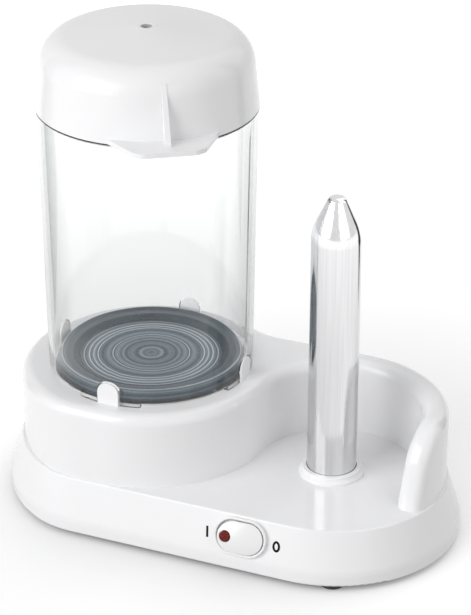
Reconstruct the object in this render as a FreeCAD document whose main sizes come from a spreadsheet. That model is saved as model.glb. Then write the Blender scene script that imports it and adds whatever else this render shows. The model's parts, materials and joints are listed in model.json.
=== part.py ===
"""Hot dog toaster: a clear steaming jar on a hot plate and a heated bun spike, on one moulded base.

Parametric document for FreeCAD 1.1, in millimetres.  +Z is up, the rubber feet stand on Z = 0 and
the origin is the middle of the footprint.  The base runs along X, and its switch faces -Y.
Each size is a cell of the sheet "Sizes"; every sub-part is bound to those cells and is written to
parts/ as one STEP file under its own name.
"""
import FreeCAD
import Part
import math
import os

import Sketcher
from FreeCAD import Placement, Rotation, Vector

SIZES = {
    # plan of the moulded base, measured from the jar axis
    "drum_end_r": 73.0,
    "front_step": 4.0,
    "back_step": 15.0,
    "spike_x": 100.5,
    "end_past": 1.5,
    "corner_r": 45.0,
    "waist_r": 22.0,
    "arm_thick": 13.0,
    "arm_foot_y": 28.0,
    "arm_brow_y": 19.8,
    "arm_round": 22.0,
    "arm_hollow_y": 12.0,
    # heights above the table
    "edge_z": 2.5,
    "widest_z": 9.5,
    "deck_z": 30.0,
    "top_z": 69.5,
    # the moulded shell
    "shoulder": 6.5,
    "ledge": 1.2,
    "shell_wall": 2.6,
    "deck_wall": 2.5,
    "roof_wall": 3.0,
    "rim_roof": 6.0,
    "edge_round": 1.2,
    "belt_round": 10.0,
    "brow_round": 5.5,
    "deck_round": 1.0,
    "lip_inset": 5.0,
    "well_inset": 16.0,
    # bosses and screws
    "boss_r": 4.2,
    "screw_r": 1.4,
    "screw_length": 10.0,
    "screw_head_r": 2.9,
    "screw_cross": 1.74,
    "screw_head": 1.8,
    "screw_crown": 0.8,
    "screw_slot": 0.9,
    "boss_drum_x": 36.0,
    "boss_drum_in": 39.0,
    "boss_end_past": 21.5,
    "boss_end_in": 31.5,
    # bottom cover and feet
    "cover_inset": 5.4,
    "cover_z": 2.5,
    "cover_thick": 2.0,
    "vent_length": 22.0,
    "vent_width": 3.2,
    "vent_pitch": 8.0,
    "foot_r": 6.0,
    "foot_stem_r": 2.2,
    "foot_round": 0.8,
    "foot_grip": 0.7,
    "foot_drum_x": 28.0,
    "foot_end_past": 19.5,
    "foot_in": 12.2,
    "foot_end_in": 7.4,
    # hot plate under the jar
    "plate_z": 77.4,
    "plate_gap": 0.9,
    "bead_in": 3.2,
    "step_in": 10.4,
    "floor_in": 12.4,
    "heat_hole_in": 10.6,
    "stud_in": 5.4,
    "plate_shelf": 1.6,
    "plate_step": 2.2,
    "plate_thick": 1.0,
    "gasket_thick": 1.0,
    "gasket_width": 2.8,
    "stud_r": 1.9,
    "stud_length": 9.0,
    "stud_nut_r": 3.6,
    "stud_nut_tall": 3.0,
    "bead_width": 2.4,
    "bead_round": 1.2,
    "bend_round": 0.7,
    "element_r": 26.0,
    "element_width": 7.0,
    "element_tall": 5.2,
    "element_gap": 60.0,
    "rod_round": 2.2,
    "tail_r": 1.6,
    "tail_length": 9.0,
    "cutout_r": 8.0,
    "cutout_tall": 7.5,
    "bridge_width": 12.0,
    "bridge_thick": 1.2,
    "bridge_half": 20.0,
    # jar, its feet and the lugs that locate it
    "jar_foot_r": 51.5,
    "jar_top_r": 54.1,
    "jar_wall": 2.0,
    "jar_lip": 0.8,
    "jar_top_z": 210.0,
    "jar_lift": 2.5,
    "jar_foot_half": 16.0,
    "lug_width": 11.0,
    "lug_tall": 11.5,
    "lug_thick": 2.6,
    "lug_round": 5.0,
    "lug_gap": 0.6,
    # lid
    "lid_tall": 33.8,
    "lid_over": 0.5,
    "lid_taper": 3.4,
    "lid_crown": 5.6,
    "lid_shoulder": 15.0,
    "lid_wall": 2.2,
    "spigot_tall": 2.4,
    "spigot_wall": 1.8,
    "spigot_gap": 0.4,
    "vent_r": 2.4,
    "vent_dish_r": 4.8,
    "tab_end_half": 12.9,
    "tab_corner_half": 17.2,
    "tab_root_half": 26.9,
    "tab_corner_out": 10.9,
    "tab_out": 13.6,
    "tab_thick": 2.4,
    "tab_turn": -56.5,
    "rib_tall": 29.0,
    "rib_out": 7.9,
    "rib_thick": 2.4,
    # heated spike for the bun
    "spike_r": 12.3,
    "spike_wall": 1.0,
    "spike_tall": 150.0,
    "spike_tip": 17.0,
    "spike_nose_r": 4.0,
    "spike_nose_round": 3.4,
    "spike_brow_round": 24.0,
    "spike_drop": 9.0,
    "flange_r": 14.0,
    "flange_thick": 1.2,
    "collar_r": 15.0,
    "collar_foot_r": 16.4,
    "collar_tall": 4.0,
    "collar_knee": 2.5,
    "collar_lip": 1.2,
    "collar_round": 0.7,
    "nut_r": 18.0,
    "nut_tall": 4.0,
    "cartridge_r": 10.8,
    "cartridge_tall": 110.0,
    "cartridge_round": 2.0,
    # rocker switch on the sloping front
    "switch_z": 20.0,
    "switch_before": 23.7,
    "switch_proud": 2.65,
    "bezel_half_x": 13.6,
    "bezel_half_z": 9.5,
    "bezel_tall": 2.2,
    "bezel_wall": 1.3,
    "bezel_round": 0.5,
    "rocker_gap": 0.35,
    "rocker_play": 0.9,
    "rocker_peak": 6.0,
    "rocker_fall": 2.3,
    "rocker_bow": 58.0,
    "rocker_waist": 12.0,
    "rocker_lift": 1.8,
    "rocker_rest": 6.0,
    "window_half_x": 9.6,
    "window_half_z": 6.2,
    "stem_half_x": 5.0,
    "stem_half_z": 3.6,
    "stem_deep": 8.0,
    "pivot_deep": 2.0,
    "pin_r": 1.0,
    "switch_deep": 18.0,
    "lens_r": 2.7,
    "lens_x": 7.4,
    "lens_tall": 3.0,
    "lens_round": 0.6,
    "switch_half_x": 9.6,
    "switch_half_z": 6.0,
    "stem_swing": 2.0,
    "blade_width": 4.8,
    "blade_thick": 0.8,
    "blade_length": 8.0,
    "blade_root": 1.0,
    "blade_pitch": 6.0,
    # mains inlet at the back
    "gland_z": 18.0,
    "gland_before": 40.5,
    "gland_r": 6.0,
    "gland_flange_r": 8.4,
    "gland_bore_r": 3.4,
    "gland_out": 7.0,
    "gland_flange": 1.6,
    "gland_nose_r": 4.6,
    "gland_in": 5.0,
    "block_length": 30.0,
    "block_width": 12.0,
    "block_tall": 11.0,
    "block_in": 34.0,
    "block_pitch": 9.0,
    "block_screw_r": 1.7,
    "block_row": 3.0,
    "clamp_in": 16.0,
    "clamp_width": 10.0,
    "clamp_span": 24.0,
    "clamp_thick": 3.0,
    "clamp_post": 9.0,
    "clamp_post_r": 3.4,
    "clamp_arch": 3.6,
    # fits
    "slip": 0.3,
}


class Size:
    """A length with the expression that says it, so that a sketch and a sum agree."""

    def __init__(self, value, text):
        self.value = float(value)
        self.text = text

    def __add__(self, other):
        other = size(other)
        return Size(self.value + other.value, f"({self.text} + {other.text})")

    def __sub__(self, other):
        other = size(other)
        return Size(self.value - other.value, f"({self.text} - {other.text})")

    def __mul__(self, other):
        other = size(other)
        return Size(self.value * other.value, f"({self.text} * {other.text})")

    def __truediv__(self, other):
        other = size(other)
        return Size(self.value / other.value, f"({self.text} / {other.text})")

    def __neg__(self):
        return Size(-self.value, f"(0 - {self.text})")

    def root(self):
        return Size(math.sqrt(self.value), f"sqrt({self.text})")


def size(item):
    return item if isinstance(item, Size) else Size(item, repr(float(item)))


class Names:
    """The cells of the sheet as attributes: s.deck_z is the cell deck_z."""

    def __getattr__(self, name):
        return Size(SIZES[name], f"Sizes.{name}")


s = Names()
doc = FreeCAD.newDocument("HotDogToaster")


def make_sheet():
    sheet = doc.addObject("Spreadsheet::Sheet", "Sizes")
    for row, (name, value) in enumerate(SIZES.items(), 1):
        sheet.set(f"A{row}", name)
        sheet.set(f"B{row}", str(value))
        sheet.setAlias(f"B{row}", name)
    doc.recompute()


# ---------------------------------------------------------------- small helpers

def bind(item, prop, value):
    """Set a property to a size, and keep it tied to the sheet."""
    item.setExpression(prop, size(value).text)


def new_body(label, x=0.0, y=0.0, z=0.0):
    body = doc.addObject("PartDesign::Body", label)
    body.Label = label
    for axis, value in zip("xyz", (x, y, z)):
        bind(body, f".Placement.Base.{axis}", value)
    return body


def new_sketch(body, name, plane="XY_Plane", height=None):
    """A sketch on a plane of its body's origin, lifted along that plane's normal."""
    sketch = body.newObject("Sketcher::SketchObject", name)
    support = [item for item in body.Origin.OriginFeatures if item.Role == plane][0]
    sketch.AttachmentSupport = [(support, "")]
    sketch.MapMode = "FlatFace"
    if height is not None:
        bind(sketch, ".AttachmentOffset.Base.z", height)
    return sketch


def datum(sketch, kind, *where):
    """Add a constraint whose last argument is a size, bound to the sheet."""
    value = size(where[-1])
    index = sketch.addConstraint(Sketcher.Constraint(kind, *where[:-1], value.value))
    sketch.setExpression(f"Constraints[{index}]", value.text)


def pin_point(sketch, geo, pos, x, y):
    """Hold a point of the sketch at x, y."""
    for kind, axis, value in (("DistanceX", -2, x), ("DistanceY", -1, y)):
        if isinstance(value, (int, float)) and value == 0:
            sketch.addConstraint(Sketcher.Constraint("PointOnObject", geo, pos, axis))
        else:
            datum(sketch, kind, -1, 1, geo, pos, value)


def polygon(sketch, corners):
    """A closed outline through corners (x, y) or (x, y, radius of the corner)."""
    points = [Vector(size(c[0]).value, size(c[1]).value, 0) for c in corners]
    count = len(corners)
    cut = [0.0] * count
    for i, corner in enumerate(corners):
        if len(corner) == 3:
            before = (points[i - 1] - points[i]).normalize()
            after = (points[(i + 1) % count] - points[i]).normalize()
            cut[i] = size(corner[2]).value / math.tan(before.getAngle(after) / 2)
    lines = []
    for i in range(count):
        start, end = points[i], points[(i + 1) % count]
        way = (end - start).normalize()
        start, end = start + way * cut[i], end - way * cut[(i + 1) % count]
        lines.append(sketch.addGeometry(Part.LineSegment(start, end)))
    for i, corner in enumerate(corners):
        into, out = lines[i - 1], lines[i]
        if not cut[i]:
            sketch.addConstraint(Sketcher.Constraint("Coincident", into, 2, out, 1))
            pin_point(sketch, out, 1, corner[0], corner[1])
            continue
        radius = size(corner[2]).value
        before = (points[i - 1] - points[i]).normalize()
        after = (points[(i + 1) % count] - points[i]).normalize()
        half = before.getAngle(after) / 2
        centre = points[i] + (before + after).normalize() * (radius / math.sin(half))
        middle = centre + (points[i] - centre).normalize() * radius
        start, end = points[i] + before * cut[i], points[i] + after * cut[i]
        arc = Part.Arc(start, middle, end)
        geo = sketch.addGeometry(arc)
        reaches = [sketch.getPoint(geo, end_point).distanceToPoint(start) for end_point in (1, 2)]
        first, last = (1, 2) if reaches[0] < reaches[1] else (2, 1)
        sketch.addConstraint(Sketcher.Constraint("Tangent", into, 2, geo, first))
        sketch.addConstraint(Sketcher.Constraint("Tangent", out, 1, geo, last))
        datum(sketch, "Radius", geo, corner[2])
        tip = sketch.addGeometry(Part.Point(points[i]), True)
        pin_point(sketch, tip, 1, corner[0], corner[1])
        sketch.addConstraint(Sketcher.Constraint("PointOnObject", tip, 1, into))
        sketch.addConstraint(Sketcher.Constraint("PointOnObject", tip, 1, out))


def box_corners(x, y, half_x, half_y):
    x, y = size(x), size(y)
    low = [(x - half_x, y - half_y), (x + half_x, y - half_y)]
    return low + [(x + half_x, y + half_y), (x - half_x, y + half_y)]


def circle(sketch, x, y, radius):
    centre = Vector(size(x).value, size(y).value, 0)
    geo = sketch.addGeometry(Part.Circle(centre, Vector(0, 0, 1), size(radius).value))
    datum(sketch, "Radius", geo, radius)
    pin_point(sketch, geo, 3, x, y)
    return geo


def arc(sketch, centre, radius, start, end):
    """An arc about a centre from one angle to the next, in radians, counter-clockwise."""
    round_one = Part.Circle(Vector(centre[0], centre[1], 0), Vector(0, 0, 1), radius)
    return sketch.addGeometry(Part.ArcOfCircle(round_one, start, end))


def line(sketch, start, end):
    return sketch.addGeometry(Part.LineSegment(Vector(*start, 0), Vector(*end, 0)))


def join(sketch, kind, first, first_end, second, second_end):
    sketch.addConstraint(Sketcher.Constraint(kind, first, first_end, second, second_end))


def plus(sketch, x, y, reach, half):
    """A cross of equal arms."""
    x, y = size(x), size(y)
    turns = [(half, half), (half, reach), (-half, reach), (-half, half), (-reach, half), (-reach, -half),
             (-half, -half), (-half, -reach), (half, -reach), (half, -half), (reach, -half), (reach, half)]
    polygon(sketch, [(x + a, y + b) for a, b in turns])


def hexagon(sketch, x, y, radius):
    x, y = size(x), size(y)
    across = radius * math.sqrt(3) / 2
    polygon(sketch, [
        (x + radius, y), (x + radius / 2, y + across), (x - radius / 2, y + across),
        (x - radius, y), (x - radius / 2, y - across), (x + radius / 2, y - across),
    ])


def arch(sketch, half, low, high, rounding):
    """An upright tongue with a round top."""
    polygon(sketch, [(-half, low), (half, low), (half, high, rounding), (-half, high, rounding)])


def slot(sketch, half_x, half_y):
    """A stadium about the sketch's origin: straight along X, round at both ends."""
    reach, radius = (size(half_x) - half_y), size(half_y)
    left = arc(sketch, (-reach.value, 0), radius.value, math.pi / 2, 1.5 * math.pi)
    right = arc(sketch, (reach.value, 0), radius.value, -math.pi / 2, math.pi / 2)
    low = line(sketch, (-reach.value, -radius.value), (reach.value, -radius.value))
    high = line(sketch, (reach.value, radius.value), (-reach.value, radius.value))
    join(sketch, "Tangent", left, 2, low, 1)
    join(sketch, "Tangent", low, 2, right, 1)
    join(sketch, "Tangent", right, 2, high, 1)
    join(sketch, "Tangent", high, 2, left, 1)
    pin_point(sketch, left, 3, -reach, 0)
    pin_point(sketch, right, 3, reach, 0)
    datum(sketch, "Radius", left, radius)
    sketch.addConstraint(Sketcher.Constraint("Equal", left, right))


def face_frame(x, y, z, side):
    """The placement, as an expression, that lays +Z outwards on the sloping skirt."""
    turn = f"rotation(vector({-side}; 0; 0); {SKIRT_TURN})"
    return f"placement(vector({x.text}; {y.text}; {z.text}); {turn})"


def face_sketch(body, name, x, z, side):
    """A sketch on the skirt of the housing; side is -1 in front and 1 behind."""
    sketch = new_sketch(body, name)
    sketch.setExpression(".AttachmentOffset", face_frame(x, skirt_y(z, side), z, side))
    return sketch


def face_body(label, x, z, side, further=""):
    """A body that sits on the skirt."""
    body = doc.addObject("PartDesign::Body", label)
    body.Label = label
    body.setExpression(".Placement", face_frame(JAR_X + x, JAR_Y + skirt_y(z, side), z, side) + further)
    return body


def pad(body, sketch, length, name, backwards=False):
    feature = body.newObject("PartDesign::Pad", name)
    feature.Profile = sketch
    bind(feature, "Length", length)
    feature.Reversed = backwards
    doc.recompute()
    return feature


def pocket(body, sketch, length, name, backwards=False, both_ways=False):
    before = body.Shape.Volume
    feature = body.newObject("PartDesign::Pocket", name)
    feature.Profile = sketch
    bind(feature, "Length", length)
    feature.Reversed = backwards
    feature.Midplane = both_ways
    doc.recompute()
    if body.Shape.Volume >= before:
        raise RuntimeError(f"{name} cuts nothing")
    return feature


def spin(body, sketch, name, kind="Revolution", axis="V_Axis", angle=360):
    """Turn a profile about an axis of its sketch, to add to the body or to cut a groove in it."""
    feature = body.newObject(f"PartDesign::{kind}", name)
    feature.Profile = sketch
    feature.ReferenceAxis = (sketch, [axis])
    bind(feature, "Angle", angle)
    doc.recompute()
    return feature


def turned(label, x, y, z, corners):
    """A body turned about the upright axis at x, y from corners (radius, height, rounding)."""
    body = new_body(label, x, y, z)
    profile = new_sketch(body, label.title().replace("_", "") + "Profile", "XZ_Plane")
    polygon(profile, corners)
    spin(body, profile, label.title().replace("_", "") + "Turn")
    return body


def discs(body, name, spots, radius, z, tall):
    """Pad equal discs at every spot."""
    plan = new_sketch(body, name + "Plan", height=z)
    for x, y in spots:
        circle(plan, x, y, radius)
    return pad(body, plan, tall, name)


def holes(body, name, spots, radius, z, deep):
    """Cut equal round holes upwards from z at every spot."""
    plan = new_sketch(body, name + "Plan", height=z)
    for x, y in spots:
        circle(plan, x, y, radius)
    return pocket(body, plan, deep, name, backwards=True)


def fillet(body, radius, name, wanted):
    """Round the edges of the body that wanted() picks."""
    base = body.Tip
    edges = [f"Edge{i}" for i, edge in enumerate(base.Shape.Edges, 1) if wanted(edge)]
    feature = body.newObject("PartDesign::Fillet", name)
    feature.Base = (base, edges)
    bind(feature, "Radius", radius)
    doc.recompute()
    return feature


def loft(body, name, kind, low, high):
    """A ruled loft between two plans of the base, each given as height and inset."""
    sketches = []
    for step, (height, inset) in zip(("Low", "High"), (low, high)):
        sketch = new_sketch(body, name + step, height=height)
        base_outline(sketch, inset)
        sketches.append(sketch)
    feature = body.newObject(f"PartDesign::{kind}Loft", name)
    feature.Profile = sketches[0]
    feature.Sections = [sketches[1]]
    feature.Ruled = True
    doc.recompute()
    return feature


def polar(body, feature, count, name):
    """Repeat a feature round the body's upright axis."""
    pattern = body.newObject("PartDesign::PolarPattern", name)
    pattern.Originals = [feature]
    pattern.Axis = ([item for item in body.Origin.OriginFeatures if item.Role == "Z_Axis"][0], [""])
    pattern.Occurrences = count
    body.Tip = pattern
    doc.recompute()
    return pattern


def flat_at(edge, height):
    box = edge.BoundBox
    return abs(box.ZMin - height) < HAIR and abs(box.ZMax - height) < HAIR


# ---------------------------------------------------------------- plan outlines

FRONT_Y = s.drum_end_r - s.front_step
BACK_Y = s.drum_end_r - s.back_step
END_R = (FRONT_Y + BACK_Y) / 2
END_X = s.spike_x + s.end_past
SPIKE_Y = BACK_Y - END_R
SKIN = s.shoulder + s.ledge
BAY_X = (END_X + END_R + FRONT_Y - SKIN * 2 - s.arm_thick) / 2
JAR_X = -(END_X + END_R - s.drum_end_r) / 2
JAR_Y = (FRONT_Y + s.switch_proud - s.drum_end_r) / 2
SWITCH_X = s.spike_x - s.switch_before
GLAND_X = s.spike_x - s.gland_before
BLOCK_Y, CLAMP_Y = BACK_Y - s.block_in, BACK_Y - s.clamp_in
SKIRT_TURN = "atan((Sizes.deck_z - Sizes.widest_z) / Sizes.shoulder) / 1 deg"
HAIR = 0.01


def skirt_inset(z):
    return s.shoulder * (z - s.widest_z) / (s.deck_z - s.widest_z)


def skirt_y(z, side):
    """Where the sloping front (side -1) or back (side 1) stands at a height."""
    if side < 0:
        return skirt_inset(z) - FRONT_Y
    return BACK_Y - skirt_inset(z)


def waist_centre(inset):
    """Centre of the hollow that joins the round drum end to the straight back."""
    reach = s.drum_end_r.value + s.waist_r.value
    height = BACK_Y.value + s.waist_r.value
    return math.sqrt(reach ** 2 - height ** 2), height


def corner_centre():
    """Centre of the front left corner, which joins the drum end to the straight front."""
    drop = s.corner_r.value - FRONT_Y.value
    reach = s.drum_end_r.value - s.corner_r.value
    return -math.sqrt(reach ** 2 - drop ** 2), drop


def base_outline(sketch, inset):
    """Plan of the base: round about the jar, straight front, round about the spike."""
    inset = size(inset)
    gap = inset.value
    end_r, drum_r = END_R.value - gap, s.drum_end_r.value - gap
    corner_r, waist_r = s.corner_r.value - gap, s.waist_r.value + gap
    end_x, end_y = END_X.value, SPIKE_Y.value
    waist, corner = waist_centre(gap), corner_centre()
    waist_turn, corner_turn = math.atan2(waist[1], waist[0]), math.atan2(corner[1], corner[0])
    front_y, back_y = end_y - end_r, end_y + end_r
    front = line(sketch, (corner[0], front_y), (end_x, front_y))
    end = arc(sketch, (end_x, end_y), end_r, -math.pi / 2, math.pi / 2)
    back = line(sketch, (end_x, back_y), (waist[0], back_y))
    hollow = arc(sketch, waist, waist_r, waist_turn + math.pi, 1.5 * math.pi)
    drum = arc(sketch, (0, 0), drum_r, waist_turn, corner_turn + 2 * math.pi)
    bend = arc(sketch, corner, corner_r, corner_turn, -math.pi / 2)
    join(sketch, "Tangent", front, 2, end, 1)
    join(sketch, "Tangent", end, 2, back, 1)
    join(sketch, "Tangent", back, 2, hollow, 2)
    join(sketch, "Tangent", hollow, 1, drum, 1)
    join(sketch, "Tangent", drum, 2, bend, 1)
    join(sketch, "Tangent", bend, 2, front, 1)
    sketch.addConstraint(Sketcher.Constraint("Horizontal", front))
    sketch.addConstraint(Sketcher.Constraint("Horizontal", back))
    sketch.addConstraint(Sketcher.Constraint("Coincident", drum, 3, -1, 1))
    datum(sketch, "DistanceX", -1, 1, end, 3, END_X)
    datum(sketch, "DistanceY", -1, 1, front, 1, -(FRONT_Y - inset))
    datum(sketch, "Radius", end, END_R - inset)
    datum(sketch, "Radius", drum, s.drum_end_r - inset)
    datum(sketch, "Radius", hollow, s.waist_r + inset)
    datum(sketch, "Radius", bend, s.corner_r - inset)


def upper_outline(sketch, inset, arm_end):
    """Plan of the drum and of the wall that runs from it round the bun bay."""
    inset = size(inset)
    skin = s.shoulder + inset
    gap = skin.value
    end_r, drum_r = END_R.value - gap, s.drum_end_r.value - gap
    corner_r, waist_r = s.corner_r.value - gap, s.waist_r.value + gap
    face_r = FRONT_Y.value - gap
    end_x, end_y = END_X.value, SPIKE_Y.value
    bay_x, bay_y = BAY_X.value, SPIKE_Y.value
    bay_r = math.hypot(bay_x, bay_y) - face_r
    waist, corner = waist_centre(gap), corner_centre()
    waist_turn, corner_turn = math.atan2(waist[1], waist[0]), math.atan2(corner[1], corner[0])
    bay_turn = math.atan2(bay_y, bay_x)
    foot_y = -arm_end.value
    inner_turn, outer_turn = math.asin((foot_y - bay_y) / bay_r), math.asin((foot_y - end_y) / end_r)
    inner = (bay_x + bay_r * math.cos(inner_turn), foot_y)
    outer = (end_x + end_r * math.cos(outer_turn), foot_y)
    back_y = end_y + end_r
    front = line(sketch, (corner[0], -face_r), (0, -face_r))
    face = arc(sketch, (0, 0), face_r, -math.pi / 2, bay_turn)
    bay = arc(sketch, (bay_x, bay_y), bay_r, inner_turn, math.pi + bay_turn)
    foot = line(sketch, inner, outer)
    end = arc(sketch, (end_x, end_y), end_r, outer_turn, math.pi / 2)
    back = line(sketch, (end_x, back_y), (waist[0], back_y))
    hollow = arc(sketch, waist, waist_r, waist_turn + math.pi, 1.5 * math.pi)
    drum = arc(sketch, (0, 0), drum_r, waist_turn, corner_turn + 2 * math.pi)
    bend = arc(sketch, corner, corner_r, corner_turn, -math.pi / 2)
    join(sketch, "Tangent", front, 2, face, 1)
    join(sketch, "Tangent", face, 2, bay, 2)
    join(sketch, "Coincident", bay, 1, foot, 1)
    join(sketch, "Coincident", foot, 2, end, 1)
    join(sketch, "Tangent", end, 2, back, 1)
    join(sketch, "Tangent", back, 2, hollow, 2)
    join(sketch, "Tangent", hollow, 1, drum, 1)
    join(sketch, "Tangent", drum, 2, bend, 1)
    join(sketch, "Tangent", bend, 2, front, 1)
    for straight in (front, foot, back):
        sketch.addConstraint(Sketcher.Constraint("Horizontal", straight))
    for round_one in (face, drum):
        sketch.addConstraint(Sketcher.Constraint("Coincident", round_one, 3, -1, 1))
    datum(sketch, "Radius", face, FRONT_Y - skin)
    datum(sketch, "DistanceX", -1, 1, bay, 3, BAY_X)
    datum(sketch, "DistanceY", -1, 1, bay, 3, SPIKE_Y)
    datum(sketch, "DistanceY", -1, 1, foot, 1, -arm_end)
    datum(sketch, "DistanceX", -1, 1, end, 3, END_X)
    datum(sketch, "DistanceY", -1, 1, end, 3, SPIKE_Y)
    datum(sketch, "Radius", end, END_R - skin)
    datum(sketch, "Radius", drum, s.drum_end_r - skin)
    datum(sketch, "Radius", hollow, s.waist_r + skin)
    datum(sketch, "Radius", bend, s.corner_r - skin)


# ---------------------------------------------------------------- the moulded housing

def is_rim(edge):
    """The edges of the drum and the wall that a finger meets: the top loop and the arm's end."""
    box = edge.BoundBox
    if box.ZMin > s.top_z.value - HAIR:
        return True
    on_arm = box.XMin > BAY_X.value and box.YMax < 0
    stands = box.ZLength > s.ledge.value and box.XLength < s.shoulder.value
    return on_arm and stands and box.ZMin > s.deck_z.value - HAIR


def make_housing():
    """Drum, wall round the bun bay, deck and skirt as one hollow moulding."""
    body = new_body("upper_housing", JAR_X, JAR_Y)
    belt = new_sketch(body, "BeltPlan", height=s.edge_z)
    base_outline(belt, 0)
    pad(body, belt, s.widest_z - s.edge_z, "Belt")
    loft(body, "Skirt", "Additive", (s.widest_z, 0), (s.deck_z, s.shoulder))
    fillet(body, s.edge_round, "EdgeRound", lambda e: flat_at(e, s.edge_z.value))
    fillet(body, s.belt_round, "BeltRound", lambda e: flat_at(e, s.widest_z.value))
    fillet(body, s.deck_round, "DeckRound", lambda e: flat_at(e, s.deck_z.value))
    plan = new_sketch(body, "UpperPlan", height=s.deck_z - s.deck_wall)
    upper_outline(plan, s.ledge, s.arm_foot_y + s.shoulder)
    pad(body, plan, s.top_z - s.deck_z + s.deck_wall, "Upper")
    arm = new_sketch(body, "ArmProfile", "YZ_Plane", BAY_X)
    polygon(arm, [
        (-s.drum_end_r, s.deck_z), (-s.arm_foot_y, s.deck_z),
        (-s.arm_brow_y, s.top_z, s.arm_round), (0, s.top_z),
        (0, s.top_z + s.roof_wall), (-s.drum_end_r, s.top_z + s.roof_wall),
    ])
    pocket(body, arm, END_R, "ArmEnd", backwards=True)
    fillet(body, s.brow_round, "BrowRound", is_rim)
    hollow_housing(body)
    mount_housing(body)
    return body


def hollow_housing(body):
    """Leave an even wall under the skirt, the deck, the drum and the wall round the bay."""
    knee, roof = s.widest_z + s.deck_wall, s.deck_z - s.deck_wall
    middle = (knee, skirt_inset(knee) + s.shell_wall)
    loft(body, "LowerHollow", "Subtractive", (s.edge_z, s.lip_inset), middle)
    loft(body, "DeckHollow", "Subtractive", middle, (roof, skirt_inset(roof) + s.shell_wall))
    tall = new_sketch(body, "TallHollowPlan", height=knee)
    upper_outline(tall, s.ledge + s.shell_wall, s.arm_hollow_y)
    pocket(body, tall, s.top_z - s.rim_roof - knee, "TallHollow", backwards=True)
    well = new_sketch(body, "WellPlan", height=roof)
    circle(well, 0, 0, s.drum_end_r - s.well_inset)
    pocket(body, well, s.top_z - s.roof_wall - roof, "Well", backwards=True)
    heat = new_sketch(body, "HeatHole", height=roof)
    circle(heat, 0, 0, PLATE_R - s.heat_hole_in)
    pocket(body, heat, s.top_z - roof, "HeatOpening", backwards=True)


COVER_SEAT = s.cover_z + s.cover_thick
PLATE_R = s.jar_foot_r - s.jar_wall - s.plate_gap
STUD_R = PLATE_R - s.stud_in
DRUM_BOSS_Y = s.drum_end_r - s.boss_drum_in
END_BOSS_Y = END_R - s.boss_end_in
BOSSES = [
    (-s.boss_drum_x, DRUM_BOSS_Y), (-s.boss_drum_x, -DRUM_BOSS_Y),
    (END_X + s.boss_end_past, END_BOSS_Y), (END_X + s.boss_end_past, -END_BOSS_Y),
]
DRUM_REACH, END_REACH = s.drum_end_r - s.foot_in, END_R - s.foot_end_in
DRUM_FOOT_Y = (DRUM_REACH * DRUM_REACH - s.foot_drum_x * s.foot_drum_x).root()
END_FOOT_Y = (END_REACH * END_REACH - s.foot_end_past * s.foot_end_past).root()
FEET = [
    (-s.foot_drum_x, DRUM_FOOT_Y), (-s.foot_drum_x, -DRUM_FOOT_Y),
    (END_X + s.foot_end_past, SPIKE_Y + END_FOOT_Y),
    (END_X + s.foot_end_past, SPIKE_Y - END_FOOT_Y),
]
CLAMP_POSTS = [(GLAND_X - s.clamp_span / 2, CLAMP_Y), (GLAND_X + s.clamp_span / 2, CLAMP_Y)]
CLAMP_TOP = COVER_SEAT + s.clamp_post + s.clamp_thick


CLEAR_THROUGH = s.shell_wall * 4
VENT_ROWS = 3


def studs():
    """Where the three studs of the hot plate go down through the drum's roof."""
    across = STUD_R * math.sqrt(3) / 2
    return [(STUD_R, 0), (-STUD_R / 2, across), (-STUD_R / 2, -across)]


def mount_housing(body):
    """Lugs for the jar, bosses for the cover, and the openings for spike, switch and cord."""
    lug = new_sketch(body, "LugProfile", "XZ_Plane", s.jar_foot_r - s.lug_thick + s.slip)
    arch(lug, s.lug_width / 2, s.top_z - s.roof_wall, s.top_z + s.lug_tall, s.lug_round)
    polar(body, pad(body, lug, s.lug_thick, "Lug"), 4, "Lugs")
    ceilings = (s.top_z - s.roof_wall, s.deck_z - s.deck_wall)
    for name, spots, ceiling in zip(("DrumBoss", "EndBoss"), (BOSSES[:2], BOSSES[2:]), ceilings):
        discs(body, name, spots, s.boss_r, COVER_SEAT, ceiling - COVER_SEAT + s.slip)
        holes(body, name + "Hole", spots, s.screw_r + s.slip, COVER_SEAT, s.screw_length)
    holes(body, "StudHole", studs(), s.stud_r + s.slip, s.deck_z, s.top_z - s.deck_z)
    holes(body, "SpikeHole", [(s.spike_x, SPIKE_Y)], s.spike_r + s.slip, s.widest_z, s.deck_z - s.widest_z)
    window = face_sketch(body, "SwitchWindow", SWITCH_X, s.switch_z, -1)
    slot(window, s.window_half_x + s.slip, s.window_half_z + s.slip)
    pocket(body, window, CLEAR_THROUGH, "SwitchOpening", both_ways=True)
    gland = face_sketch(body, "GlandHole", GLAND_X, s.gland_z, 1)
    circle(gland, 0, 0, s.gland_r + s.slip)
    pocket(body, gland, CLEAR_THROUGH, "GlandOpening", both_ways=True)


# ---------------------------------------------------------------- bottom cover and feet

def make_base_plate():
    body = new_body("base_plate", JAR_X, JAR_Y)
    plan = new_sketch(body, "CoverPlan", height=s.cover_z)
    base_outline(plan, s.cover_inset)
    pad(body, plan, s.cover_thick, "Cover")
    discs(body, "ClampPosts", CLAMP_POSTS, s.clamp_post_r, s.cover_z, s.clamp_post + s.cover_thick)
    holes(body, "ScrewHoles", BOSSES, s.screw_r + s.slip, s.cover_z, s.cover_thick)
    holes(body, "FootHoles", FEET, s.foot_stem_r + s.slip, s.cover_z, s.cover_thick)
    holes(body, "ClampHoles", CLAMP_POSTS, s.screw_r + s.slip, s.cover_z, s.clamp_post + s.cover_thick)
    vents = new_sketch(body, "Vents", height=s.cover_z)
    for row in range(-VENT_ROWS, VENT_ROWS + 1):
        polygon(vents, box_corners(0, s.vent_pitch * row, s.vent_length / 2, s.vent_width / 2))
    pocket(body, vents, s.cover_thick, "VentSlots", backwards=True)
    return body


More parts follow.
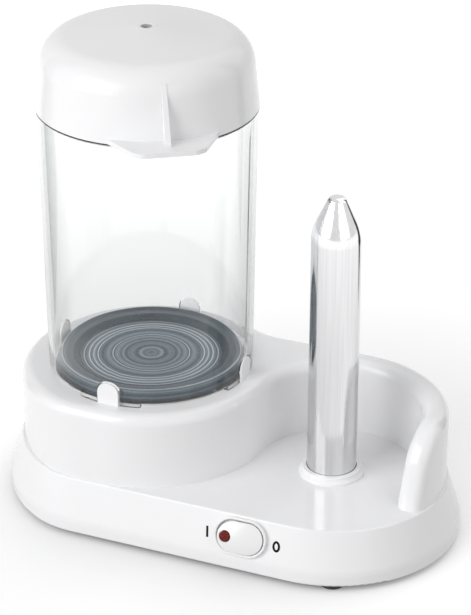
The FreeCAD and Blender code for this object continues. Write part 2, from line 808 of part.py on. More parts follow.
def make_feet():
    """Four moulded feet, each held by a stem through the cover."""
    body = new_body("rubber_feet", JAR_X, JAR_Y)
    discs(body, "Feet", FEET, s.foot_r, 0, s.cover_z)
    fillet(body, s.foot_round, "FootRound", lambda e: flat_at(e, 0))
    discs(body, "Stems", FEET, s.foot_stem_r, s.cover_z, s.cover_thick + s.slip)
    discs(body, "Buttons", FEET, s.foot_stem_r + s.foot_grip, COVER_SEAT + s.slip, s.cover_thick)
    return body


def make_screws(label, spots, head_z, length, up):
    """Round-headed screws at every spot, their heads below the seat (up) or above it."""
    body = new_body(label, JAR_X, JAR_Y)
    low, high = (head_z - s.screw_head, head_z) if up else (head_z, head_z - length)
    discs(body, "Heads", spots, s.screw_head_r, low, s.screw_head)
    crown = low if up else head_z + s.screw_head
    fillet(body, s.screw_crown, "HeadRound", lambda e: flat_at(e, crown.value))
    discs(body, "Shanks", spots, s.screw_r, high, length)
    cross = new_sketch(body, "CrossPlan", height=crown)
    for x, y in spots:
        plus(cross, x, y, s.screw_cross, s.screw_slot / 2)
    pocket(body, cross, s.screw_head / 2, "Cross", backwards=up)
    return body


# ---------------------------------------------------------------- hot plate

RIM_R, STEP_R, FLOOR_R = PLATE_R - s.bead_in, PLATE_R - s.step_in, PLATE_R - s.floor_in
PLATE_SEAT = s.top_z + s.gasket_thick
PLATE_SHELF = s.plate_z - s.plate_shelf
PLATE_FLOOR = PLATE_SHELF - s.plate_step
PLATE_UNDER = PLATE_FLOOR - s.plate_thick


def make_heating_plate():
    """A pressed steel dish: flat floor, shelf, raised bead and a skirt down to the gasket."""
    thin = s.plate_thick
    body = turned("heating_plate", JAR_X, JAR_Y, 0, [
        (0, PLATE_FLOOR), (FLOOR_R, PLATE_FLOOR, s.bend_round), (STEP_R, PLATE_SHELF, s.bend_round),
        (RIM_R - s.bead_width, PLATE_SHELF, s.bend_round), (RIM_R, s.plate_z, s.bead_round),
        (PLATE_R, PLATE_SEAT), (PLATE_R - thin, PLATE_SEAT),
        (RIM_R - s.bend_round, s.plate_z - thin * 2, s.bend_round), (STEP_R, PLATE_SHELF - thin),
        (FLOOR_R + thin, PLATE_UNDER), (0, PLATE_UNDER),
    ])
    low = s.top_z - s.stud_length
    discs(body, "Studs", studs(), s.stud_r, low, PLATE_SHELF - low - thin / 2)
    return body


def make_gasket():
    return turned("plate_gasket", JAR_X, JAR_Y, s.top_z, [
        (PLATE_R - s.gasket_width, 0), (PLATE_R, 0), (PLATE_R, s.gasket_thick),
        (PLATE_R - s.gasket_width, s.gasket_thick),
    ])


def make_plate_nuts():
    body = new_body("plate_nuts", JAR_X, JAR_Y)
    low = s.top_z - s.roof_wall - s.stud_nut_tall
    plan = new_sketch(body, "NutPlan", height=low)
    for x, y in studs():
        hexagon(plan, x, y, s.stud_nut_r)
    pad(body, plan, s.stud_nut_tall, "Nuts")
    holes(body, "Threads", studs(), s.stud_r + s.slip, low, s.stud_nut_tall)
    return body


def make_element():
    """A ring of clad heating rod brazed under the plate, open at one side, with two cold tails."""
    body = new_body("heating_element", JAR_X, JAR_Y)
    profile = new_sketch(body, "RodProfile", "XZ_Plane")
    inner, outer = s.element_r - s.element_width / 2, s.element_r + s.element_width / 2
    low = PLATE_UNDER - s.element_tall
    polygon(profile, [
        (inner, low, s.rod_round), (outer, low, s.rod_round), (outer, PLATE_UNDER), (inner, PLATE_UNDER),
    ])
    spin(body, profile, "Rod", angle=size(360) - s.element_gap)
    half = s.element_gap / 2
    bind(body, ".Placement.Rotation.Angle", half)
    tails = new_sketch(body, "TailPlan", height=low - s.tail_length)
    circle(tails, s.element_r, s.tail_r * 2, s.tail_r)
    swing = math.radians(s.element_gap.value)
    across, along = s.element_r * math.cos(swing), -s.element_r * math.sin(swing)
    circle(tails, across - s.tail_r * 2 * math.sin(swing), along - s.tail_r * 2 * math.cos(swing), s.tail_r)
    pad(body, tails, s.tail_length + s.element_tall / 2, "Tails")
    return body


def make_cutout():
    """The snap-disc thermostat that stops the plate when it boils dry."""
    body = new_body("thermal_cutout", JAR_X, JAR_Y, PLATE_UNDER - s.cutout_tall)
    discs(body, "Can", [(0, 0)], s.cutout_r, 0, s.cutout_tall)
    fillet(body, s.bend_round, "CanRound", lambda e: flat_at(e, 0))
    blades = new_sketch(body, "BladePlan", height=s.cutout_tall / 4)
    half = (s.blade_length + s.blade_root) / 2
    for side in (-1, 1):
        middle = (s.cutout_r - s.blade_root + half) * side
        polygon(blades, box_corners(0, middle, s.blade_width / 2, half))
    pad(body, blades, s.blade_thick, "Blades")
    return body


def make_bracket():
    """A strap that holds the thermostat up against the plate."""
    body = new_body("cutout_bracket", JAR_X, JAR_Y, PLATE_UNDER - s.cutout_tall - s.bridge_thick)
    strap = new_sketch(body, "StrapProfile", "XZ_Plane")
    half, thick, tall = s.bridge_half, s.bridge_thick, s.cutout_tall + s.bridge_thick
    polygon(strap, [
        (-half, 0, thick), (half, 0, thick), (half, tall), (half - thick, tall),
        (half - thick, thick), (thick - half, thick), (thick - half, tall), (-half, tall),
    ])
    length = pad(body, strap, s.bridge_width, "Strap")
    length.Midplane = True
    return body


# ---------------------------------------------------------------- jar and lid

def make_jar():
    """Clear open tube that widens upwards, on four feet notched over the lugs."""
    tall = s.jar_top_z - s.top_z
    body = turned("steaming_jar", JAR_X, JAR_Y, s.top_z, [
        (s.jar_foot_r - s.jar_wall, 0), (s.jar_foot_r, 0), (s.jar_top_r, tall, s.jar_lip),
        (s.jar_top_r - s.jar_wall, tall, s.jar_lip),
    ])
    gaps = new_sketch(body, "GapPlan")
    polygon(gaps, [
        (s.jar_foot_half, s.jar_foot_half), (s.jar_top_r, s.jar_foot_half), (s.jar_top_r, s.jar_top_r),
        (s.jar_foot_half, s.jar_top_r),
    ])
    polar(body, pocket(body, gaps, s.jar_lift, "Gap", backwards=True), 4, "Gaps")
    notch = new_sketch(body, "NotchProfile", "XZ_Plane")
    arch(notch, s.lug_width / 2 + s.lug_gap, -s.jar_lift, s.lug_tall + s.lug_gap, s.lug_round + s.lug_gap)
    polar(body, pocket(body, notch, s.jar_top_r, "Notch"), 4, "Notches")
    return body


LID_R = s.jar_top_r + s.lid_over
LID_TOP_R = LID_R - s.lid_taper


def make_lid():
    """Tall domed lid with a steam vent, a spigot inside the jar and a ribbed tab to lift it by."""
    body = new_body("lid", JAR_X, JAR_Y, s.jar_top_z)
    bind(body, ".Placement.Rotation.Angle", s.tab_turn)
    top, wall = s.lid_tall + s.lid_crown, s.lid_wall
    spigot = s.jar_top_r - s.jar_wall - s.spigot_gap
    outside = new_sketch(body, "LidProfile", "XZ_Plane")
    polygon(outside, [
        (0, -s.spigot_tall), (spigot, -s.spigot_tall), (spigot, 0), (LID_R, 0),
        (LID_TOP_R, s.lid_tall, s.lid_shoulder), (0, top),
    ])
    spin(body, outside, "Dome")
    tab = new_sketch(body, "TabPlan")
    root = LID_TOP_R - wall * 2
    polygon(tab, [
        (root, -s.tab_root_half), (LID_R + s.tab_corner_out, -s.tab_corner_half, s.tab_thick),
        (LID_R + s.tab_out, -s.tab_end_half, s.tab_thick * 2),
        (LID_R + s.tab_out, s.tab_end_half, s.tab_thick * 2),
        (LID_R + s.tab_corner_out, s.tab_corner_half, s.tab_thick), (root, s.tab_root_half),
    ])
    pad(body, tab, s.tab_thick, "Tab")
    rib = new_sketch(body, "RibProfile", "XZ_Plane")
    polygon(rib, [
        (root, s.tab_thick / 2), (LID_R + s.rib_out, s.tab_thick / 2),
        (LID_R + s.rib_out, s.tab_thick + wall / 2), (LID_TOP_R - wall / 2, s.rib_tall), (root, s.rib_tall),
    ])
    fin = pad(body, rib, s.rib_thick, "Rib")
    fin.Midplane = True
    inside = new_sketch(body, "CavityProfile", "XZ_Plane")
    bore = spigot - s.spigot_wall
    polygon(inside, [
        (0, -s.spigot_tall - wall), (bore, -s.spigot_tall - wall), (bore, wall),
        (LID_R - wall - s.slip, wall), (LID_TOP_R - wall, s.lid_tall - wall, s.lid_shoulder - wall),
        (0, top - wall),
    ])
    spin(body, inside, "Cavity", "Groove")
    vent = new_sketch(body, "VentProfile", "XZ_Plane")
    polygon(vent, [
        (0, top - wall * 2), (s.vent_r, top - wall * 2), (s.vent_r, top - wall / 3),
        (s.vent_dish_r, top - wall / 8), (s.vent_dish_r, top + wall), (0, top + wall),
    ])
    spin(body, vent, "Vent", "Groove")
    return body


# ---------------------------------------------------------------- heated spike

SPIKE_X = JAR_X + s.spike_x
SPIKE_AT = JAR_Y + SPIKE_Y


def make_spike():
    """Stainless tube with a blunt nose, a flange on the deck and a plain foot through it."""
    r, thin, tall = s.spike_r, s.spike_wall, s.spike_tall
    return turned("bun_spike", SPIKE_X, SPIKE_AT, s.deck_z, [
        (r - thin, -s.spike_drop), (r, -s.spike_drop), (r, 0),
        (s.flange_r, 0), (s.flange_r, s.flange_thick), (r, s.flange_thick),
        (r, tall - s.spike_tip, s.spike_brow_round), (s.spike_nose_r, tall, s.spike_nose_round),
        (0, tall), (0, tall - thin), (s.spike_nose_r - thin, tall - thin),
        (r - thin, tall - s.spike_tip, s.spike_brow_round),
    ])


def make_collar():
    """Moulded ring that covers the flange and hugs the tube."""
    bore, recess = s.spike_r + s.slip, s.flange_r + s.slip
    return turned("spike_collar", SPIKE_X, SPIKE_AT, s.deck_z, [
        (recess, 0), (s.collar_foot_r, 0), (s.collar_foot_r, s.collar_lip, s.collar_round),
        (s.collar_r, s.collar_knee, s.collar_round), (s.collar_r, s.collar_tall, s.collar_round),
        (bore, s.collar_tall),
        (bore, s.flange_thick + s.slip), (recess, s.flange_thick + s.slip),
    ])


def make_spike_nut():
    body = new_body("spike_nut", SPIKE_X, SPIKE_AT, s.deck_z - s.deck_wall - s.nut_tall)
    plan = new_sketch(body, "SpikeNutPlan")
    hexagon(plan, 0, 0, s.nut_r)
    circle(plan, 0, 0, s.spike_r + s.slip)
    pad(body, plan, s.nut_tall, "SpikeNutRing")
    return body


def make_cartridge():
    """The heater that slides up inside the spike."""
    body = new_body("spike_heater", SPIKE_X, SPIKE_AT, s.deck_z - s.spike_drop)
    discs(body, "Cartridge", [(0, 0)], s.cartridge_r, 0, s.cartridge_tall)
    fillet(body, s.cartridge_round, "CartridgeRound", lambda e: flat_at(e, s.cartridge_tall.value))
    across = s.cartridge_r / 3
    discs(body, "Tails", [(across, 0), (-across, 0)], s.tail_r, -s.tail_length, s.tail_length)
    return body


# ---------------------------------------------------------------- rocker switch

WELL_X, WELL_Z = s.bezel_half_x - s.bezel_wall, s.bezel_half_z - s.bezel_wall
TILTED = f"rotation(vector(0; 1; 0); {s.rocker_rest.text})"
REST_TILT = f" * placement(vector(0; 0; 0 - {s.pivot_deep.text}); {TILTED})"


def make_bezel():
    body = face_body("switch_bezel", SWITCH_X, s.switch_z, -1)
    plan = new_sketch(body, "BezelPlan")
    slot(plan, s.bezel_half_x, s.bezel_half_z)
    slot(plan, WELL_X, WELL_Z)
    pad(body, plan, s.bezel_tall, "Bezel")
    fillet(body, s.bezel_round, "BezelRound", lambda e: flat_at(e, s.bezel_tall.value))
    return body


def make_rocker():
    """Domed oval key on a stem; its own origin is the pivot."""
    body = face_body("switch_rocker", SWITCH_X, s.switch_z, -1, REST_TILT)
    low = s.rocker_lift + s.pivot_deep
    peak = s.rocker_peak + s.pivot_deep
    key = new_sketch(body, "KeyPlan", height=low)
    slot(key, WELL_X - s.rocker_play, WELL_Z - s.rocker_gap)
    pad(body, key, peak - low, "Key")
    dome = new_sketch(body, "DomeProfile", "XZ_Plane")
    polygon(dome, [
        (-WELL_X, peak - s.rocker_fall), (0, peak, s.rocker_bow), (WELL_X, peak - s.rocker_fall),
        (WELL_X, peak * 2), (-WELL_X, peak * 2),
    ])
    axis = dome.addGeometry(Part.LineSegment(Vector(-WELL_X.value, 0, 0), Vector(WELL_X.value, 0, 0)), True)
    pin_point(dome, axis, 1, -WELL_X, -s.rocker_waist)
    pin_point(dome, axis, 2, WELL_X, -s.rocker_waist)
    spin(body, dome, "DomeCut", "Groove", "Axis0")
    stem = new_sketch(body, "StemPlan", height=low)
    polygon(stem, box_corners(0, 0, s.stem_half_x, s.stem_half_z))
    pad(body, stem, s.stem_deep, "Stem", backwards=True)
    bore = new_sketch(body, "PivotBore", "XZ_Plane")
    circle(bore, 0, 0, s.pin_r + s.slip)
    pocket(body, bore, s.bezel_half_z * 2, "PivotHole", both_ways=True)
    well = new_sketch(body, "LensHole", height=low)
    circle(well, -s.lens_x, 0, s.lens_r + s.slip)
    pocket(body, well, peak, "LensWell", backwards=True)
    return body


def make_lens():
    """Red window of the pilot lamp, set in the key."""
    body = face_body("indicator_lens", SWITCH_X, s.switch_z, -1, REST_TILT)
    discs(body, "Lens", [(-s.lens_x, 0)], s.lens_r, s.rocker_lift + s.pivot_deep, s.lens_tall)
    top = s.rocker_lift + s.pivot_deep + s.lens_tall
    fillet(body, s.lens_round, "LensRound", lambda e: flat_at(e, top.value))
    return body


def make_switch_body():
    """The contact block behind the key, snapped into the window."""
    body = face_body("switch_body", SWITCH_X, s.switch_z, -1)
    block = new_sketch(body, "BlockPlan", height=-s.switch_deep)
    slot(block, s.switch_half_x, s.switch_half_z)
    pad(body, block, s.switch_deep, "Block")
    well = new_sketch(body, "StemWell")
    polygon(well, box_corners(0, 0, s.stem_half_x + s.stem_swing, s.stem_half_z + s.slip))
    pocket(body, well, s.stem_deep + s.pivot_deep, "StemRoom")
    bore = new_sketch(body, "PinBore", "XZ_Plane")
    circle(bore, 0, -s.pivot_deep, s.pin_r + s.slip)
    pocket(body, bore, s.bezel_half_z * 2, "PinHole", both_ways=True)
    return body


def make_pin():
    body = face_body("rocker_pin", SWITCH_X, s.switch_z, -1)
    ring = new_sketch(body, "PinPlan", "XZ_Plane")
    circle(ring, 0, -s.pivot_deep, s.pin_r)
    rod = pad(body, ring, s.switch_half_z * 2, "Pin")
    rod.Midplane = True
    return body


def make_blades():
    """Three push-on terminals under the contact block."""
    body = face_body("switch_terminals", SWITCH_X, s.switch_z, -1)
    plan = new_sketch(body, "BladesPlan", height=-s.switch_deep - s.blade_length)
    for step in (-1, 0, 1):
        polygon(plan, box_corners(s.blade_pitch * step, 0, s.blade_thick / 2, s.blade_width / 2))
    pad(body, plan, s.blade_length, "BladeRow")
    return body


# ---------------------------------------------------------------- mains inlet

BLOCK_SPOTS = [(s.block_pitch * step, s.block_row * side) for step in (-1, 0, 1) for side in (-1, 1)]


def make_gland():
    """Round gland that the cord would come in by, at the back."""
    body = face_body("cord_gland", GLAND_X, s.gland_z, 1)
    profile = new_sketch(body, "GlandProfile", "XZ_Plane")
    polygon(profile, [
        (s.gland_bore_r, -s.gland_in), (s.gland_r, -s.gland_in), (s.gland_r, 0), (s.gland_flange_r, 0),
        (s.gland_flange_r, s.gland_flange), (s.gland_r, s.gland_flange), (s.gland_nose_r, s.gland_out),
        (s.gland_bore_r, s.gland_out),
    ])
    spin(body, profile, "Gland")
    return body


def make_block():
    body = new_body("terminal_block", JAR_X + GLAND_X, JAR_Y + BLOCK_Y, COVER_SEAT)
    plan = new_sketch(body, "TerminalPlan")
    polygon(plan, box_corners(0, 0, s.block_length / 2, s.block_width / 2))
    pad(body, plan, s.block_tall, "Terminals")
    holes(body, "ScrewWells", BLOCK_SPOTS, s.block_screw_r + s.slip, s.block_tall / 2, s.block_tall / 2)
    wires = new_sketch(body, "WireHoles", "XZ_Plane")
    for step in (-1, 0, 1):
        circle(wires, s.block_pitch * step, s.block_tall / 3, s.block_screw_r)
    pocket(body, wires, s.block_width, "WireRuns", both_ways=True)
    return body


def make_block_screws():
    body = new_body("terminal_screws", JAR_X + GLAND_X, JAR_Y + BLOCK_Y, COVER_SEAT)
    low = s.block_tall / 2
    discs(body, "Screws", BLOCK_SPOTS, s.block_screw_r, low, low - s.screw_slot)
    slots = new_sketch(body, "SlotPlan", height=s.block_tall - s.screw_slot)
    for x, y in BLOCK_SPOTS:
        polygon(slots, box_corners(x, y, s.block_screw_r * 2, s.screw_slot / 3))
    pocket(body, slots, s.screw_slot, "Slots")
    return body


def make_clamp():
    """Arched bar that holds the cord down between the two posts of the cover."""
    body = new_body("cord_clamp", JAR_X + GLAND_X, JAR_Y + CLAMP_Y, COVER_SEAT + s.clamp_post)
    spots = [(-s.clamp_span / 2, 0), (s.clamp_span / 2, 0)]
    bar = new_sketch(body, "BarPlan")
    slot(bar, s.clamp_span / 2 + s.clamp_width / 2, s.clamp_width / 2)
    pad(body, bar, s.clamp_thick, "Bar")
    arch_cut = new_sketch(body, "ArchProfile", "XZ_Plane")
    circle(arch_cut, 0, -s.clamp_arch / 2, s.clamp_arch)
    pocket(body, arch_cut, s.clamp_width * 2, "Arch", both_ways=True)
    holes(body, "BarHoles", spots, s.screw_r + s.slip, 0, s.clamp_thick)
    return body


def export(parts):
    """Check the whole document, then write one STEP file for each sub-part."""
    doc.recompute()
    for item in doc.Objects:
        if {"Invalid", "Error"} & set(item.State):
            raise RuntimeError(f"{item.Label} failed: {item.State}")
    for part in parts:
        if part.Shape.isNull() or not part.Shape.isValid():
            raise RuntimeError(f"{part.Label} has no valid shape")
    os.makedirs("parts", exist_ok=True)
    for part in parts:
        part.Shape.exportStep(f"parts/{part.Label}.step")


make_sheet()
export([
    make_housing(),
    make_base_plate(),
    make_feet(),
    make_screws("base_screws", BOSSES, s.cover_z, s.screw_length, True),
    make_heating_plate(),
    make_gasket(),
    make_plate_nuts(),
    make_element(),
    make_cutout(),
    make_bracket(),
    make_jar(),
    make_lid(),
    make_spike(),
    make_collar(),
    make_spike_nut(),
    make_cartridge(),
    make_bezel(),
    make_rocker(),
    make_lens(),
    make_switch_body(),
    make_pin(),
    make_blades(),
    make_gland(),
    make_block(),
    make_block_screws(),
    make_clamp(),
    make_screws("clamp_screws", CLAMP_POSTS, CLAMP_TOP, s.clamp_post, False),
])
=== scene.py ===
import json
import math

import bpy
from bpy.props import FloatProperty, FloatVectorProperty, PointerProperty
from mathutils import Matrix, Vector


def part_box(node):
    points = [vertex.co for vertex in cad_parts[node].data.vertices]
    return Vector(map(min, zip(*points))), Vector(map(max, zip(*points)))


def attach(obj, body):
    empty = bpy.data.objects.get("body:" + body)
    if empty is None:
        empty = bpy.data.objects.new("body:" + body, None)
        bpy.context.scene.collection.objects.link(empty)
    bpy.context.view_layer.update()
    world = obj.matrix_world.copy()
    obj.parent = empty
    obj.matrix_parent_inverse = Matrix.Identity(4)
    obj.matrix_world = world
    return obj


bl_info = {
    "name": "Hot dog toaster",
    "version": (1, 0, 0),
    "blender": (4, 5, 0),
    "location": "View3D > Sidebar > Toaster",
    "description": "Finishes, printed marks and studio for a table-top hot dog toaster",
    "category": "Object",
}

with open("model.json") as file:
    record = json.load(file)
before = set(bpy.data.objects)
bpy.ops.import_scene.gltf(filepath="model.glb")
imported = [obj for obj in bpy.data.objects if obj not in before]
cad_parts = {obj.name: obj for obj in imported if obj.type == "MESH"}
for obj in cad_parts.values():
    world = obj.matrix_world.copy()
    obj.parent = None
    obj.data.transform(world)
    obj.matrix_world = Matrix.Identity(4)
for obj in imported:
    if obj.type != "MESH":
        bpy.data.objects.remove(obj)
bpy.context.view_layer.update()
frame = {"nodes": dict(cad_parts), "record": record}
NODES = frame["nodes"]
SLOT_OF = {part["node"]: part["material_slot"] for part in frame["record"]["subparts"]}


def middle_of(node):
    """The middle of a CAD node's box."""
    low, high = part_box(node)
    return (low + high) / 2


JAR_MIDDLE = middle_of("steaming_jar")
PLATE_MIDDLE, PLATE_HIGH = middle_of("heating_plate"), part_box("heating_plate")[1]

# Painted shade at the foot of the plate's skirt, where it stands on the drum: where it is darkest and where
# that ends, in shares of its height
SKIRT_SHADE_DARKEST, SKIRT_SHADE_END = 0.10, 0.55

# Painted shade on the plate's flat brim, standing in for its darker reflections: where it is darkest and
# where that ends, in shares of the plate's radius
BRIM_SHADE_DARKEST, BRIM_SHADE_END = 0.80, 0.66

# Painted highlights on the plate: bright rings standing in for the highlights on its bead, steps and rim,
# each a radius and a half width in shares of the plate's radius
PAINTED_HIGHLIGHT_RINGS = [(0.40, 0.008), (0.555, 0.010), (0.60, 0.007), (0.645, 0.012), (0.70, 0.007), (0.93, 0.012)]

# Painted shade in the lid's vent: where it is darkest, where that ends, and what is left there of the lid's
# colour
VENT_SHADE_DARKEST, VENT_SHADE_END, VENT_SHADE_KEPT = 0.0026, 0.0032, 0.55

# The gap that keeps the painted shadow ring off the jar's skin
SEAT_GAP = 0.00002

# Where the values of a noise pattern mostly lie
NOISE_LOW, NOISE_HIGH = 0.3, 0.7

SWITCH_GREY = (0.30, 0.30, 0.305)
GASKET_GREY = (0.60, 0.59, 0.56)
FOOT_BLACK = (0.035, 0.035, 0.038)
ELEMENT_GREY = (0.50, 0.50, 0.51)
SHEATH_GREY = (0.42, 0.42, 0.43)

# Small metal pieces by their slot: colour and roughness
SMALL_METALS = {
    "screw_steel": ((0.60, 0.61, 0.63), 0.30),
    "bracket_steel": ((0.62, 0.63, 0.64), 0.36),
    "contact_brass": ((0.76, 0.56, 0.22), 0.28),
}

# Small pieces of ceramic and nylon by their slot: colour, roughness and depth of grain
SMALL_INSULATORS = {
    "cutout_ceramic": ((0.78, 0.74, 0.66), 0.3, 0.00003),
    "block_nylon": ((0.78, 0.77, 0.72), 0.5, 0.00004),
}

# Sides of round pieces, and the share of a thin piece's width that its softened edge takes
BAND_SIDES, RING_SIDES = 128, 48
SOFT_EDGE = 0.3

# How far in front the search for the sloping front starts
SEARCH_FROM = 1.0

# The lamps: what they face, and each one's size and place
LAMP_AIM = (0.0, 0.0, 0.1)
LAMPS = {
    "key": (1.4, (-0.85, -1.4, 0.85)),
    "top": (2.0, (0.7, 0.8, 1.4)),
    "fill": (1.4, (1.35, -0.75, 0.75)),
}

# The dark cards: how far aside each one stands, and how far behind the object's middle both do
CARDS = {"card_left": 0.34, "card_right": -0.36}
CARD_BEHIND = 0.12


# ---------------------------------------------------------------- sizes and colours

def colour(name, description, default):
    return FloatVectorProperty(
        name=name, description=description, default=default, size=len(default),
        subtype="COLOR", min=0.0, max=1.0,
    )


def point(name, description, default):
    return FloatVectorProperty(
        name=name, description=description, default=default, subtype="TRANSLATION", unit="LENGTH",
    )


def length(name, description, default):
    return FloatProperty(
        name=name, description=description, default=default, subtype="DISTANCE", unit="LENGTH",
    )


def share(name, description, default):
    return FloatProperty(
        name=name, description=description, default=default, subtype="FACTOR", min=0.0, max=1.0,
    )


def angle(name, description, degrees):
    return FloatProperty(name=name, description=description, default=math.radians(degrees), subtype="ANGLE")


def power(name, description, default):
    return FloatProperty(name=name, description=description, default=default, unit="POWER")


def number(name, description, default):
    return FloatProperty(name=name, description=description, default=default)


class ToasterShell(bpy.types.PropertyGroup):
    white: colour("Housing white", "Colour of the housing and the collar", (0.86, 0.86, 0.87))
    lid_white: colour("Lid white", "Colour of the lid", (0.86, 0.86, 0.87))
    gloss: share("Gloss", "Strength of the reflections in the housing", 0.45)
    lid_gloss: share("Lid gloss", "Strength of the reflections in the lid", 0.22)
    cover_white: colour("Cover white", "Colour of the cover underneath", (0.62, 0.62, 0.62))
    gloss_rough: share("Housing roughness", "How far the polished mouldings blur a reflection", 0.15)
    ripple: length("Ripple", "Depth of the faint ripple of the moulded skin", 0.00003)
    grain: length("Grain", "Depth of the grain of the cover underneath", 0.0001)


class ToasterJar(bpy.types.PropertyGroup):
    tint: colour("Jar tint", "Colour that the clear wall leaves to light", (0.922, 0.926, 0.926))
    # Painted shade: the dark tint the wall takes towards its edges, where it is seen at a slant
    edge_painted_shade: colour("Edge tint", "What the wall leaves to light at a slant", (0.26, 0.27, 0.275))
    edge_shade_from: share("Edge start", "How far round the wall its edge starts to darken", 0.4)
    bend: FloatProperty(
        name="Refraction", description="Refractive index of the clear plastic", default=1.47, min=1.0,
    )
    haze: share("Haze", "Roughness of the clear wall", 0.015)
    wave: length("Wave", "Depth of the slow waves in the clear wall", 0.00008)
    # The thin black ring under the lid's rim is a painted shadow of the gap between lid and jar
    shade_ring_black: colour("Seal black", "Colour of the thin ring under the lid's rim", (0.015, 0.015, 0.017))
    shade_ring_tall: length("Seal height", "Height of the ring under the lid's rim", 0.0009)
    shade_ring_out: length("Seal reach", "How far the ring stands out from the jar", 0.0004)


class ToasterPlate(bpy.types.PropertyGroup):
    steel: colour("Plate steel", "Colour of the hot plate", (0.052, 0.078, 0.098))
    worn: colour("Worn steel", "Colour of the plate where it is rubbed clean", (0.22, 0.285, 0.33))
    # Painted highlight: colour of the bright rings that stand in for the highlights on the plate
    bright: colour("Bright rings", "Colour of the rings that the spinning tool polished", (0.62, 0.66, 0.70))
    # Painted shade on the brim: what the brim keeps of its colour under it
    brim_shade_kept: share("Brim dimming", "What the plate's flat brim keeps of its colour", 0.68)
    # Painted shade at the foot of the skirt: what it keeps of its colour there
    skirt_shade_kept: share("Skirt dimming", "What the foot of the plate's skirt keeps of its colour", 0.12)
    ring: length("Ring spacing", "Distance from one turning mark to the next", 0.0024)
    ring_depth: length("Ring depth", "Depth of the turning marks", 0.000012)
    rough: share("Plate roughness", "Roughness of the hot plate", 0.32)


class ToasterSpike(bpy.types.PropertyGroup):
    steel: colour("Spike steel", "Colour of the stainless tube", (0.72, 0.72, 0.73))
    rough: share("Spike roughness", "Roughness of the polished tube", 0.12)
    draw_depth: length("Draw marks", "Depth of the marks along the drawn tube", 0.000012)


class ToasterSwitch(bpy.types.PropertyGroup):
    key_white: colour("Key white", "Colour of the key and its ring", (0.83, 0.83, 0.83))
    lens: colour("Lens red", "Colour of the indicator lens", (0.16, 0.010, 0.006))
    ink: colour("Ink", "Colour of the printed marks", (0.012, 0.012, 0.014))
    mark_tall: length("Mark height", "Height of the printed marks up the slope", 0.0056)
    stroke: length("Stroke", "Width of the strokes of the marks", 0.00115)
    ink_thick: length("Ink thickness", "How far the print stands off the skin", 0.00006)
    on_x: length("On mark", "Where the mark for on stands along the front", 0.0128)
    off_x: length("Off mark", "Where the mark for off stands along the front", 0.0490)
    off_wide: length("Off width", "Width of the round mark for off", 0.0040)
    mark_z: length("Mark place", "Height of the marks above the table", 0.0190)
    mark_lean: angle("Mark lean", "How far the marks are turned on the slope", 6.0)


class ToasterStage(bpy.types.PropertyGroup):
    floor_size: length("Floor", "Width of the studio floor", 6.0)
    floor_drop: length("Floor drop", "How far the floor lies under the feet, so that no faces meet", 0.0001)
    floor_white: colour("Floor white", "Colour of the studio floor", (0.62, 0.62, 0.62))
    # Painted light: the glow added so that the floor looks white, cut back near the object as a painted
    # contact shadow
    floor_glow: number("Floor glow", "What is added so that the lit floor looks white", 0.42)
    glow_reach: length("Glow reach", "How near the object shuts out the floor's glow", 0.05)
    far_glow: number("Far glow", "What is added far from the object", 0.5)
    far_from: length("Far from", "Distance at which the far glow starts", 0.08)
    far_to: length("Far to", "Distance at which the far glow is full", 0.6)
    # Painted light on both sides of the object, which washes out the shadows there
    side_glow: number("Side glow", "What is added on both sides of the object", 0.17)
    side_at: point("Side", "Middle of the side glow at the right, with a twin at the left", (0.16, 0.0, 0.0))
    side_reach: length("Side reach", "How far the side glow reaches from its middle", 0.16)
    air: number("Room light", "Strength of the even light from the room", 0.34)
    key: power("Key light", "Power of the soft light at the left front", 24.0)
    top: power("Top light", "Power of the soft light overhead", 9.7)
    fill: power("Fill light", "Power of the soft light at the right", 5.5)
    card_grey: colour("Card grey", "Colour of the dark cards beside the picture", (0.02, 0.02, 0.02))
    card_wide: length("Card width", "Width of each dark card", 0.22)
    card_tall: length("Card height", "Height of each dark card", 0.6)
    camera_at: point("Camera", "Where the camera stands", (0.42435, -1.0169, 0.6680))
    looks: FloatVectorProperty(
        name="Camera aim", description="The way the camera looks", default=(-0.3435, 0.8225, -0.4534),
        subtype="DIRECTION",
    )
    roll: angle("Roll", "How far the camera leans", 0.1)
    lens: number("Lens", "Focal length for a 36 mm picture height", 146.3)


SETTINGS = {
    "toaster_shell": ToasterShell,
    "toaster_jar": ToasterJar,
    "toaster_plate": ToasterPlate,
    "toaster_spike": ToasterSpike,
    "toaster_switch": ToasterSwitch,
    "toaster_stage": ToasterStage,
}


# ---------------------------------------------------------------- finishes

def new_node(tree, kind, inputs=(), **settings):
    """A shader node with its settings, each named input linked to a socket or given a value."""
    node = tree.nodes.new(kind)
    for key, value in settings.items():
        setattr(node, key, value)
    for key, value in dict(inputs).items():
        if isinstance(value, bpy.types.NodeSocket):
            tree.links.new(value, node.inputs[key])
        else:
            node.inputs[key].default_value = value
    return node


def reckoned(tree, operation, *values):
    """The outcome of a sum on numbers or sockets."""
    return new_node(tree, "ShaderNodeMath", enumerate(values), operation=operation).outputs["Value"]


def smooth_step(tree, value, start, stop, low, high):
    """Low at the start, high at the stop, and a smooth change between them."""
    ends = {"Value": value, "From Min": start, "From Max": stop, "To Min": low, "To Max": high}
    return new_node(tree, "ShaderNodeMapRange", ends, interpolation_type="SMOOTHSTEP").outputs["Result"]


def mixed(tree, part, first, second):
    """The first shader, with as much of the second as part says."""
    return new_node(tree, "ShaderNodeMixShader", {0: part, 1: first, 2: second}).outputs["Shader"]


